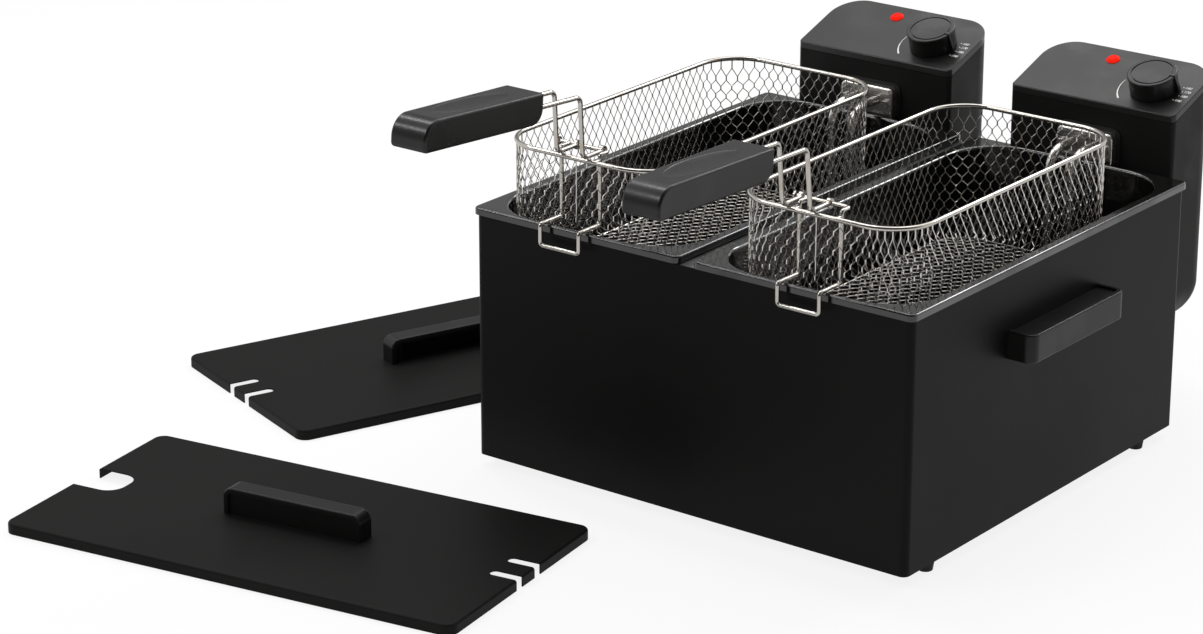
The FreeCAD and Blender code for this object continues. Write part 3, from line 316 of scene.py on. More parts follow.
@dataclass(frozen=True)
class GlossEnamel(Finish):
    """Fired enamel: deep gloss, slow waves, tiny specks and a dulled film where oil has dried."""

    def material(self) -> bpy.types.Material:
        """Make the enamel."""
        shader = Shader(self.slot)
        waves = shader.noise(scale=55.0, detail=2.0)
        film = shader.mask(shader.noise(scale=16.0, detail=5.0), start=0.45, end=0.75)
        speck = shader.between(shader.cells(scale=380.0), low=1.0, high=0.0, start=0.02, end=0.09)
        glaze = shader.blend(film, self.tone(0.9), self.tone(1.25))
        return shader.finish(
            Base_Color=shader.blend(speck * 0.2, glaze, self.tone(5.0)),
            Roughness=shader.between(film, self.roughness, self.roughness + 0.06, 0.0, 1.0),
            Specular_IOR_Level=0.35,
            Coat_Weight=shader.between(film, 0.7, 0.3, 0.0, 1.0),
            Coat_Roughness=0.04,
            Normal=shader.bump(waves, distance=4e-5),
        )


@dataclass(frozen=True)
class MouldedPlastic(Finish):
    """Moulded plastic with an eroded grain, and a little polish where it is touched.

    Attributes:
        grain: Height of the grain in metres.
        specular: Specular level.
    """

    grain: float = 8e-6
    specular: float = 0.25

    def material(self) -> bpy.types.Material:
        """Make the plastic."""
        shader = Shader(self.slot)
        cells = shader.cells(scale=1500.0, feature="SMOOTH_F1")
        fine = shader.noise(scale=3200.0, detail=2.0)
        touched = shader.mask(shader.noise(scale=22.0, detail=4.0), start=0.4, end=0.7)
        return shader.finish(
            Base_Color=shader.blend(cells * 0.5 + touched * 0.5, self.tone(0.82), self.tone(1.25)),
            Roughness=shader.between(touched, self.roughness + 0.05, self.roughness - 0.05, 0.0, 1.0),
            Specular_IOR_Level=self.specular,
            Normal=shader.bump(cells * 0.7 + fine * 0.3, self.grain),
        )


@dataclass(frozen=True)
class PlatedWire(Finish):
    """Bright plated wire, with drawing lines and darker spots where fat has baked on.

    Attributes:
        fat: Colour of the baked spots.
    """

    fat: Colour = (0.33, 0.25, 0.17)

    def material(self) -> bpy.types.Material:
        """Make the plating."""
        shader = Shader(self.slot)
        drawn = shader.noise(scale=700.0, detail=3.0, where=shader.stretched((1.0, 0.15, 0.3)))
        baked = shader.mask(shader.noise(scale=45.0, detail=4.0), start=0.56, end=0.78)
        bright = shader.blend(drawn, self.tone(0.92), self.tone(1.06))
        return shader.finish(
            Base_Color=shader.blend(baked * 0.6, bright, self.fat),
            Metallic=1.0,
            Roughness=shader.between(drawn, self.roughness - 0.05, self.roughness + 0.06) + baked * 0.14,
            Normal=shader.bump(drawn, distance=1e-5),
        )


@dataclass(frozen=True)
class BrushedSteel(Finish):
    """Stainless sheet or bar with brush lines and slight fogging.

    Attributes:
        lines: Stretch of the brush lines along each axis.
        tint: Colour of the fogged spots.
    """

    lines: tuple[float, float, float] = (0.03, 1.0, 1.0)
    tint: Colour = (0.36, 0.33, 0.3)

    def material(self) -> bpy.types.Material:
        """Make the steel."""
        shader = Shader(self.slot)
        brush = shader.noise(scale=1800.0, detail=3.0, where=shader.stretched(self.lines))
        fog = shader.mask(shader.noise(scale=60.0, detail=4.0), start=0.5, end=0.75)
        clean = shader.blend(brush, self.tone(0.85), self.tone(1.1))
        return shader.finish(
            Base_Color=shader.blend(fog * 0.5, clean, self.tint),
            Metallic=1.0,
            Roughness=shader.between(brush, self.roughness - 0.06, self.roughness + 0.08) + fog * 0.08,
            Normal=shader.bump(brush, distance=1.2e-5),
        )


@dataclass(frozen=True)
class DarkRubber(Finish):
    """Moulded rubber, matt, with a dusty bloom."""

    def material(self) -> bpy.types.Material:
        """Make the rubber."""
        shader = Shader(self.slot)
        bloom = shader.mask(shader.noise(scale=150.0, detail=5.0), start=0.4, end=0.75)
        grain = shader.noise(scale=2600.0, detail=3.0)
        return shader.finish(
            Base_Color=shader.blend(bloom, self.tone(0.9), self.tone(1.9)),
            Roughness=shader.between(bloom, self.roughness, self.roughness + 0.12, 0.0, 1.0),
            Specular_IOR_Level=0.3,
            Normal=shader.bump(grain, distance=2e-5),
        )


@dataclass(frozen=True)
class LitLens(Finish):
    """Lit lamp lens with a prism pattern and a hot middle.

    Attributes:
        glow: Emission strength.
        middles: Middle of each lens.
        hot_colour: Colour of the hot middle.
        hot_edge: Distances from the middle between which it fades out.
    """

    glow: float
    middles: tuple[tuple[float, float, float], ...]
    hot_colour: Colour = (0.95, 0.012, 0.004)
    hot_edge: tuple[float, float] = (1.5 * MM, 6.2 * MM)

    def material(self) -> bpy.types.Material:
        """Make the lens."""
        shader = Shader(self.slot)
        prisms = shader.cells(scale=700.0)
        reach = [shader.node("ShaderNodeVectorMath", {"operation": "DISTANCE"},
                             {0: shader.place(), 1: middle}, output="Value") for middle in self.middles]
        nearest = reach[0].least(reach[-1])
        hot = shader.between(nearest, 1.0, 0.0, *self.hot_edge)
        colour = shader.blend(hot, self.tone(0.85), self.hot_colour)
        return shader.finish(
            Base_Color=shader.blend(prisms, self.tone(0.1), self.tone(0.2)),
            Roughness=shader.between(prisms, self.roughness, self.roughness + 0.12, 0.0, 0.6),
            Specular_IOR_Level=0.03,
            Emission_Color=colour,
            Emission_Strength=self.glow,
            Normal=shader.bump(prisms, distance=6e-5),
        )


@dataclass(frozen=True)
class PrintedInk(Finish):
    """Screen printed ink, slightly uneven, with pinholes."""

    def material(self) -> bpy.types.Material:
        """Make the ink."""
        shader = Shader(self.slot)
        uneven = shader.noise(scale=900.0, detail=4.0)
        covered = shader.mask(uneven, start=0.25, end=0.5)
        return shader.finish(
            Base_Color=shader.blend(covered, self.tone(0.6), self.colour),
            Roughness=shader.between(uneven, self.roughness + 0.1, self.roughness),
            Normal=shader.bump(uneven, distance=4e-6),
        )


class Workshop:
    """Makes pieces, gives them their finish and sets them on the frame."""

    SMOOTH_UNDER: ClassVar[float] = math.radians(40.0)

    def __init__(self) -> None:
        """Start with no materials made."""
        self.made: dict[Finish, bpy.types.Material] = {}

    def material(self, finish: Finish) -> bpy.types.Material:
        """Material of a finish, made once."""
        if finish not in self.made:
            self.made[finish] = finish.material()
        return self.made[finish]

    def dress(self, nodes: Iterable[str], finish: Finish) -> None:
        """Give frame nodes a finish.

        Args:
            nodes: Names of the nodes.
            finish: Their finish.
        """
        for name in nodes:
            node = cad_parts[name]
            if not node.material_slots:
                node.data.materials.append(None)
            for slot in node.material_slots:
                slot.material = self.material(finish)
            log.info("dressed %s in %s", name, finish.slot)

    def piece(self, name: str, mesh: bmesh.types.BMesh, finish: Finish, body: str,
              replaces: Sequence[str] = ()) -> None:
        """Turn a bmesh into a piece of the fryer.

        Args:
            name: Name of the piece.
            mesh: Its shape, in metres in the fryer's frame; it is freed.
            finish: Its finish.
            body: Frame body that carries it.
            replaces: Frame nodes that it stands for.
        """
        for face in mesh.faces:
            face.smooth = True
        for edge in mesh.edges:
            edge.smooth = len(edge.link_faces) == 2 and edge.calc_face_angle(math.pi) < self.SMOOTH_UNDER
        data = bpy.data.meshes.new(name)
        mesh.to_mesh(data)
        mesh.free()
        data.materials.append(self.material(finish))
        piece = bpy.data.objects.new(name, data)
        bpy.context.scene.collection.objects.link(piece)
        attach(piece, body)
        if replaces:
            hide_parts(*replaces)
        log.info("built %s with %d faces", name, len(data.polygons))


def joined(parts: Iterable[bmesh.types.BMesh]) -> bmesh.types.BMesh:
    """Join bmeshes into one.

    Args:
        parts: The bmeshes, which are freed.

    Returns:
        The whole.
    """
    whole = bmesh.new()
    for part in parts:
        held = bpy.data.meshes.new("part")
        part.to_mesh(held)
        part.free()
        whole.from_mesh(held)
        bpy.data.meshes.remove(held)
    return whole


@dataclass(frozen=True)
class RoundedPath:
    """Closed path round a rectangle with round corners, run from the middle of the front.

    Attributes:
        width: Size along X.
        length: Size along Y.
        radius: Corner radius.
    """

    END_STRETCHES: ClassVar[tuple[int, ...]] = (0, 4, 8)

    width: float
    length: float
    radius: float

    def stretches(self) -> list[tuple[float, bool]]:
        """Length of each stretch, and whether it is a corner, anticlockwise from the front's middle."""
        across, along = self.width - 2 * self.radius, self.length - 2 * self.radius
        bend = self.radius * math.pi / 2
        return [(across / 2, False), (bend, True), (along, False), (bend, True), (across, False),
                (bend, True), (along, False), (bend, True), (across / 2, False)]

    def point(self, distance: float, inset: float = 0.0) -> Vector:
        """Point on the path.

        Args:
            distance: Way along the path.
            inset: Shift towards the inside.

        Returns:
            The point, on the XY plane about the middle.
        """
        position, heading = Vector((0.0, -self.length / 2)), 0.0
        for length, bends in self.stretches():
            part = min(distance, length)
            forward = Vector((math.cos(heading), math.sin(heading)))
            if bends:
                turn = part / self.radius
                centre = position + Vector((-forward.y, forward.x)) * self.radius
                arm = heading + turn - math.pi / 2
                position = centre + Vector((math.cos(arm), math.sin(arm))) * self.radius
                heading += turn
            else:
                position = position + forward * part
            distance -= part
            if distance <= NEARLY_NOTHING:
                break
        inward = Vector((-math.sin(heading), math.cos(heading)))
        return position + inward * inset

    def corner_share(self, distance: float) -> float:
        """Nearness to the middle of a corner.

        Args:
            distance: Way along the path.

        Returns:
            One in the middle of a corner, nought at its ends and on the straights.
        """
        for length, bends in self.stretches():
            if distance <= length:
                return math.sin(math.pi * distance / length) if bends else 0.0
            distance -= length
        return 0.0


@dataclass(frozen=True)
class WireNet:
    """Hexagonal wire net of a basket: narrow meshes on the long sides, twisted joints on the ends.

    Attributes:
        path: Outline that the net hangs from.
        top: Height of its upper edge.
        bottom: Height of its floor.
        wire: Wire thickness.
        pitch: Height of one row.
        side_cell: Half a mesh on the long sides.
        end_cell: Half a mesh on the ends.
        corner_cells: Half a mesh at each corner, from the front right one round to the front left one.
        side_twist: Length of the joints on the long sides, as a share of a row.
        end_twist: Length of the joints on the ends and the floor, as a share of a row.
        sag: How far the rows hang at the corners.
        slack_rows: Rows below the rim in which the sag grows to its full share.
        unevenness: How far a joint strays from its place.
        stray_steps: Change of the stray's phase from column to column and from row to row, in radians.
        joint: Thickness of a twisted joint.
        joint_sides: Number of flats round a joint.
        heel: Radius between wall and floor.
        merge: Distance under which points of the wall become one.
    """

    path: RoundedPath
    top: float
    bottom: float
    wire: float = 0.8 * MM
    pitch: float = 8.0 * MM
    side_cell: float = 4.9 * MM
    end_cell: float = 4.8 * MM
    corner_cells: tuple[float, ...] = (2.9 * MM, 3.7 * MM, 4.6 * MM, 3.7 * MM)
    side_twist: float = 0.1
    end_twist: float = 0.36
    sag: float = 7.0 * MM
    slack_rows: float = 1.5
    unevenness: float = 0.4 * MM
    stray_steps: tuple[float, float] = (7.3, 4.1)
    joint: float = 1.25 * MM
    joint_sides: int = 6
    heel: float = 9.0 * MM
    merge: float = 0.05 * MM

    def columns(self) -> list[float]:
        """Way along the path of each column of knots, the first and last being the same place."""
        marks, start = [0.0], 0.0
        for index, (length, bends) in enumerate(self.path.stretches()):
            straight = self.end_cell if index in self.path.END_STRETCHES else self.side_cell
            cell = self.corner_cells[index // 2] if bends else straight
            count = max(2, round(length / cell / 2) * 2)
            marks += [start + length * (step + 1) / count for step in range(count)]
            start += length
        return marks

    @staticmethod
    def bricks(mesh: bmesh.types.BMesh, columns: int, rows: int) -> None:
        """Make a sheet of staggered meshes, one unit to a column and a row, its joints marked as seams.

        Args:
            mesh: Empty bmesh to fill.
            columns: Number of columns.
            rows: Number of rows.
        """
        bmesh.ops.create_grid(mesh, x_segments=columns, y_segments=rows, size=0.5)
        bmesh.ops.translate(mesh, verts=mesh.verts, vec=(0.5, 0.5, 0.0))
        bmesh.ops.scale(mesh, verts=mesh.verts, vec=(columns, rows, 1.0))
        loose = []
        for edge in mesh.edges:
            middle = (edge.verts[0].co + edge.verts[1].co) / 2
            upright = abs(edge.verts[0].co.x - edge.verts[1].co.x) < 0.5
            staggered = (round(middle.x) + math.floor(middle.y)) % 2
            if upright and len(edge.link_faces) == 2 and staggered:
                loose.append(edge)
            edge.seam = upright and not staggered
        bmesh.ops.dissolve_edges(mesh, edges=loose, use_verts=False)
        for vert in mesh.verts:
            column, row = round(vert.co.x), round(vert.co.y)
            vert.co.z = -0.5 if (column + row) % 2 else 0.5

    def stray(self, column: int, row: int) -> float:
        """How far a joint lies off its place, the same for both of its ends."""
        joint = row - (column + row) % 2
        return self.unevenness * math.sin(self.stray_steps[0] * column + self.stray_steps[1] * joint)

    def wall(self) -> bmesh.types.BMesh:
        """Net round the sides, with its lower edge turned in to the floor.

        Returns:
            The net, about the middle of the basket.
        """
        marks = self.columns()
        drop = self.top - self.bottom - self.heel + self.heel * math.pi / 2
        rows = round(drop / self.pitch)
        step = drop / rows
        mesh = bmesh.new()
        self.bricks(mesh, len(marks) - 1, rows)
        for vert in mesh.verts:
            column, row, stagger = round(vert.co.x), round(vert.co.y), vert.co.z
            on_path = self.path.point(marks[column])
            on_end = abs(on_path.y) > self.path.length / 2 - self.path.radius
            twist = self.end_twist if on_end else self.side_twist
            swing = 0.0 if row in (0, rows) else stagger * (1.0 - twist)
            down = (rows - row - swing) * step
            hung = min(1.0, down / (self.slack_rows * step)) * (1.0 - (down / drop) ** 2)
            down += self.sag * self.path.corner_share(marks[column]) * hung
            down += self.stray(column % (len(marks) - 1), row) * hung
            straight = self.top - self.bottom - self.heel
            if down <= straight:
                inset, height = 0.0, self.top - down
            else:
                angle = (down - straight) / self.heel
                inset = self.heel * (1 - math.cos(angle))
                height = self.bottom + self.heel * (1 - math.sin(angle))
            spot = self.path.point(marks[column], inset)
            vert.co = (spot.x, spot.y, height)
        bmesh.ops.remove_doubles(mesh, verts=mesh.verts, dist=self.merge)
        return mesh

    def floor(self) -> bmesh.types.BMesh:
        """Flat net of the bottom, drawn in at the corners to the wall's outline.

        Returns:
            The net, about the middle of the basket.
        """
        width, length = self.path.width - 2 * self.heel, self.path.length - 2 * self.heel
        radius = self.path.radius - self.heel
        columns, rows = round(width / self.end_cell / 2) * 2, round(length / self.pitch)
        mesh = bmesh.new()
        self.bricks(mesh, columns, rows)
        for vert in mesh.verts:
            swing = 0.0 if round(vert.co.y) in (0, rows) else vert.co.z * (1.0 - self.end_twist)
            x = (vert.co.x / columns - 0.5) * width
            y = ((vert.co.y + swing) / rows - 0.5) * length
            over = Vector((max(0.0, abs(x) - width / 2 + radius), max(0.0, abs(y) - length / 2 + radius)))
            if over.x > 0 and over.y > 0:
                drawn = over * (max(over) / over.length)
                x = math.copysign(width / 2 - radius + drawn.x, x)
                y = math.copysign(length / 2 - radius + drawn.y, y)
            vert.co = (x, y, self.bottom)
        return mesh

    def strands(self, mesh: bmesh.types.BMesh) -> bmesh.types.BMesh:
        """Turn a sheet of meshes into wire.

        Args:
            mesh: The sheet.

        Returns:
            The same bmesh, as wire.
        """
        bmesh.ops.recalc_face_normals(mesh, faces=mesh.faces)
        bmesh.ops.wireframe(mesh, faces=mesh.faces[:], thickness=self.wire, use_replace=True,
                            use_boundary=True, use_even_offset=True)
        return mesh

    def joints(self, mesh: bmesh.types.BMesh) -> bmesh.types.BMesh:
        """Twisted joints of a sheet of meshes.

        Args:
            mesh: The sheet, with its joints marked as seams.

        Returns:
            The joints, as short round pins.
        """
        pins = []
        for edge in mesh.edges:
            if edge.seam:
                start, end = (vert.co for vert in edge.verts)
                turn = (end - start).to_track_quat("Z", "X").to_matrix().to_4x4()
                pins.append(bmesh.new())
                bmesh.ops.create_cone(pins[-1], cap_ends=True, segments=self.joint_sides,
                                      radius1=self.joint / 2, radius2=self.joint / 2,
                                      depth=(end - start).length + self.wire,
                                      matrix=Matrix.Translation((start + end) / 2) @ turn)
        return joined(pins)


@dataclass(frozen=True)
class Basket:
    """Frying basket: wire net under the rim wire.

    Attributes:
        side: Which half it hangs over.
        rim_wire: Thickness of the rim wire.
        corner: Corner radius of the rim.
        depth: Depth of the net.
    """

    side: Side
    rim_wire: float = 4 * MM
    corner: float = 38 * MM
    depth: float = 113 * MM

    def build(self, shop: Workshop, wire: Finish, thin_wire: Finish) -> None:
        """Knit the net and dress the wires.

        Args:
            shop: Maker of the pieces.
            wire: Finish of the rim and the hook.
            thin_wire: Finish of the net.
        """
        low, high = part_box(self.side.node("basket_rim"))
        middle, size = (low + high) / 2, high - low
        path = RoundedPath(size.x - self.rim_wire, size.y - self.rim_wire, self.corner)
        net = WireNet(path, middle.z, middle.z - self.depth)
        offset = Vector((middle.x, middle.y, 0.0))
        body = self.side.node("basket")
        for part, sheet in (("wall", net.wall()), ("floor", net.floor())):
            stands_for = [self.side.node("basket_mesh")] if part == "wall" else []
            bmesh.ops.translate(sheet, verts=sheet.verts, vec=offset)
            joints, strands = net.joints(sheet), net.strands(sheet)
            shop.piece(self.side.node(f"net_{part}"), strands, thin_wire, body, stands_for)
            shop.piece(self.side.node(f"net_{part}_joints"), joints, thin_wire, body)
        shop.dress([self.side.node("basket_rim"), self.side.node("basket_hook")], wire)


@dataclass(frozen=True)
class BasketHandle:
    """Folding handle of a basket: bent wire and two-part grip.

    Attributes:
        side: Which basket it lifts.
    """

    side: Side

    def build(self, shop: Workshop, wire: Finish, plastic: Finish) -> None:
        """Dress the wire and the grip.

        Args:
            shop: Maker of the pieces.
            wire: Finish of the wire.
            plastic: Finish of the grip.
        """
        shop.dress([self.side.node("handle_wire")], wire)
        shop.dress([self.side.node("grip_top"), self.side.node("grip_bottom")], plastic)


@dataclass(frozen=True)
class DialPrint:
    """Print round a knob: a growing crescent, and four temperatures with their dots.

    Attributes:
        panel: Place of the panel, u to the right, v up the slope.
        knob: Middle of the knob on the panel.
        crescent_radius: Radius of the crescent's middle line.
        crescent_angles: Its first and last angle in degrees.
        crescent_widths: Its first and last width.
        crescent_growth: Power by which it widens.
        crescent_steps: Number of facets along it.
        marks: Angle in degrees of each temperature.
        dot_ring: Radius that the dots lie on.
        dot_radius: Radius of a dot.
        dot_sides: Number of sides of a dot.
        dot_gap: Distance from the middle of a dot to its figures.
        text_size: Height of the figures.
        swell: How much fatter than the plain font they are.
        slant: Lean of the figures, as a share of their height.
        curve_steps: Number of facets between two points of a figure's outline.
        merge: Distance under which points of a figure become one.
        film: Thickness of the ink.
    """

    panel: Matrix
    knob: tuple[float, float] = (43 * MM, 32 * MM)
    crescent_radius: float = 31.5 * MM
    crescent_angles: tuple[float, float] = (170.0, 223.0)
    crescent_widths: tuple[float, float] = (0.35 * MM, 1.5 * MM)
    crescent_growth: float = 1.4
    crescent_steps: int = 28
    marks: tuple[tuple[str, float], ...] = (("160", 25.0), ("170", 10.5), ("180", -5.0), ("190", -22.0))
    dot_ring: float = 24.8 * MM
    dot_radius: float = 0.55 * MM
    dot_sides: int = 14
    dot_gap: float = 1.3 * MM
    text_size: float = 4.1 * MM
    swell: float = 0.07 * MM
    slant: float = 0.25
    curve_steps: int = 4
    merge: float = 0.001 * MM
    film: float = 0.03 * MM

    def arc(self) -> bmesh.types.BMesh:
        """Crescent beside the knob.

        Returns:
            The crescent, on the panel's own plane.
        """
        radius = self.crescent_radius
        start, end = (math.radians(angle) for angle in self.crescent_angles)
        thin, thick = self.crescent_widths
        sweep = end - start
        mesh = bmesh.new()
        ends = [mesh.verts.new((radius + shift, 0.0, 0.0)) for shift in (-thin / 2, thin / 2)]
        edge = mesh.edges.new(ends)
        bmesh.ops.spin(mesh, geom=[edge, *ends], cent=(0, 0, 0), axis=(0, 0, 1), dvec=(0, 0, 0),
                       angle=sweep, steps=self.crescent_steps, use_merge=False)
        for vert in mesh.verts:
            share = math.atan2(vert.co.y, vert.co.x) / sweep
            width = thin + (thick - thin) * share ** self.crescent_growth
            reach = radius + math.copysign(width / 2, vert.co.to_2d().length - radius)
            vert.co = vert.co.normalized() * reach
        turn = Matrix.Rotation(start, 3, "Z")
        bmesh.ops.rotate(mesh, verts=mesh.verts, cent=(0, 0, 0), matrix=turn)
        return mesh

    def figures(self, text: str) -> bmesh.types.BMesh:
        """Slanted figures, starting at the origin.

        Args:
            text: What to print.

        Returns:
            The figures, on the panel's own plane.
        """
        curve = bpy.data.curves.new("figures", "FONT")
        curve.body, curve.size, curve.shear = text, self.text_size, self.slant
        curve.offset = self.swell
        curve.align_y = "CENTER"
        curve.resolution_u = self.curve_steps
        holder = bpy.data.objects.new("figures", curve)
        mesh = bmesh.new()
        shape = bpy.data.meshes.new_from_object(holder)
        mesh.from_mesh(shape)
        bpy.data.meshes.remove(shape)
        bpy.data.objects.remove(holder)
        bpy.data.curves.remove(curve)
        bmesh.ops.remove_doubles(mesh, verts=mesh.verts, dist=self.merge)
        return mesh

    def dot(self) -> bmesh.types.BMesh:
        """Round dot at the origin."""
        mesh = bmesh.new()
        bmesh.ops.create_circle(mesh, cap_ends=True, segments=self.dot_sides, radius=self.dot_radius)
        return mesh

    def sheet(self) -> bmesh.types.BMesh:
        """Whole print as a thin film on the panel.

        Returns:
            The film, in the fryer's frame.
        """
        middle = Vector((*self.knob, 0.0))
        prints = [(self.arc(), Matrix.Translation(middle))]
        for text, angle in self.marks:
            turn = math.radians(angle)
            spot = middle + self.dot_ring * Vector((math.cos(turn), math.sin(turn), 0.0))
            prints.append((self.dot(), Matrix.Translation(spot)))
            prints.append((self.figures(text), Matrix.Translation(spot + Vector((self.dot_gap, 0.0, 0.0)))))
        for part, place in prints:
            bmesh.ops.transform(part, matrix=place, verts=part.verts)
        whole = joined(part for part, _ in prints)
        flat = whole.faces[:]
        bmesh.ops.recalc_face_normals(whole, faces=flat)
        for face in flat:
            if face.normal.z < 0:
                face.normal_flip()
        raised = bmesh.ops.extrude_face_region(whole, geom=flat)
        lifted = [item for item in raised["geom"] if isinstance(item, bmesh.types.BMVert)]
        bmesh.ops.translate(whole, verts=lifted, vec=(0, 0, self.film))
        bmesh.ops.transform(whole, matrix=self.panel, verts=whole.verts)
        return whole


@dataclass(frozen=True)
class ControlUnit:
    """Control unit: housing, sloped panel, knob, lamp, heater and its bracket.

    Attributes:
        side: Which half it serves.
        offset: Distance of its middle from the fryer's.
        front: Y of the panel's front edge.
        top: Height of that edge.
        slope: Slope of the panel in degrees.
    """

    side: Side
    offset: float = 111 * MM
    front: float = 222 * MM
    top: float = 275 * MM
    slope: float = 18.6

    @property
    def panel(self) -> Matrix:
        """Place of the panel."""
        corner = Matrix.Translation((self.side.sign * self.offset, self.front, self.top))
        return corner @ Matrix.Rotation(math.radians(self.slope), 4, "X")

    def build(self, shop: Workshop, finishes: Mapping[str, Finish]) -> None:
        """Print the dial and dress the unit.

        Args:
            shop: Maker of the pieces.
            finishes: Finish of each part.
        """
        for part, finish in finishes.items():
            if part != "dial":
                shop.dress([self.side.node(part)], finish)
        print_film = DialPrint(self.panel).sheet()
        shop.piece(self.side.node("dial"), print_film, finishes["dial"], self.side.node("control"))


@dataclass(frozen=True)
class Cabinet:
    """Sheet cabinet with its base, rail, feet and carrying handles.

    Attributes:
        paint: Finish of the outer sheets.
        steel: Finish of the sheets that are left plain.
        rubber: Finish of the feet.
    """

    paint: Finish = SatinPaint("cabinet_paint", (0.0045, 0.0043, 0.0041), roughness=0.42)
    steel: Finish = BrushedSteel("base_steel", (0.1, 0.1, 0.1), roughness=0.42)
    rubber: Finish = DarkRubber("foot_rubber", (0.012, 0.012, 0.012), roughness=0.7)

    def build(self, shop: Workshop, handles: Finish, screws: Finish) -> None:
        """Dress the cabinet.

        Args:
            shop: Maker of the pieces.
            handles: Finish of the carrying handles.
            screws: Finish of the screws.
        """
        shop.dress(["cabinet_shell", "rear_panel"], self.paint)
        shop.dress(["base_plate", "centre_rail", "hanger_tabs"], self.steel)
        shop.dress(["feet"], self.rubber)
        shop.dress(["foot_screws", "side_handle_screws"], screws)
        shop.dress(["side_handle_left", "side_handle_right"], handles)


@dataclass(frozen=True)
class OilPan:
    """Drawn pan that holds the oil.

    Attributes:
        side: Which half it fills.
        enamel: Its finish.
    """

    side: Side
    enamel: Finish = GlossEnamel("pan_enamel", (0.0055, 0.0053, 0.005), roughness=0.12)

    def build(self, shop: Workshop) -> None:
        """Dress the pan."""
        shop.dress([self.side.node("oil_pan")], self.enamel)


@dataclass(frozen=True)
class Lid:
    """Sheet lid with its handle.

    Attributes:
        side: Which pan it belongs to.
        paint: Finish of the sheet.
    """

    side: Side
    paint: Finish = SatinPaint("lid_paint", (0.009, 0.0087, 0.0084), roughness=0.48, specular=0.06)

    def build(self, shop: Workshop, handles: Finish, screws: Finish) -> None:
        """Dress the lid.

        Args:
            shop: Maker of the pieces.
            handles: Finish of the handle.
            screws: Finish of the screws.
        """
        shop.dress([self.side.node("lid_plate")], self.paint)
        shop.dress([self.side.node("lid_handle")], handles)
        shop.dress([self.side.node("lid_handle_screws")], screws)


@dataclass(frozen=True)
class DarkSide:
    """An unlit side of the room, as shiny surfaces mirror it.

    Attributes:
        direction: Where it lies.
        edge: Cosines between which it fades in.
        depth: How much darker it is than white.
    """

    direction: tuple[float, float, float]
    edge: tuple[float, float]
    depth: float


@dataclass(frozen=True)
class SoftBox:
    """A lamp with a flat bright face.

    Attributes:
        name: Name of the lamp.
        spot: Where it hangs.
        size: Width and height of its face.
        power: Power in watts.
    """

    name: str
    spot: tuple[float, float, float]
    size: tuple[float, float]
    power: float

    def hang(self, aim: Vector) -> None:
        """Hang the lamp.

        Args:
            aim: Point that its face is turned to.
        """
        data = bpy.data.lights.new(self.name, "AREA")
        data.shape, data.energy = "RECTANGLE", self.power
        data.size, data.size_y = self.size
        lamp = bpy.data.objects.new(self.name, data)
        lamp.location = self.spot
        lamp.rotation_euler = (aim - Vector(self.spot)).to_track_quat("-Z", "Y").to_euler()
        bpy.context.scene.collection.objects.link(lamp)


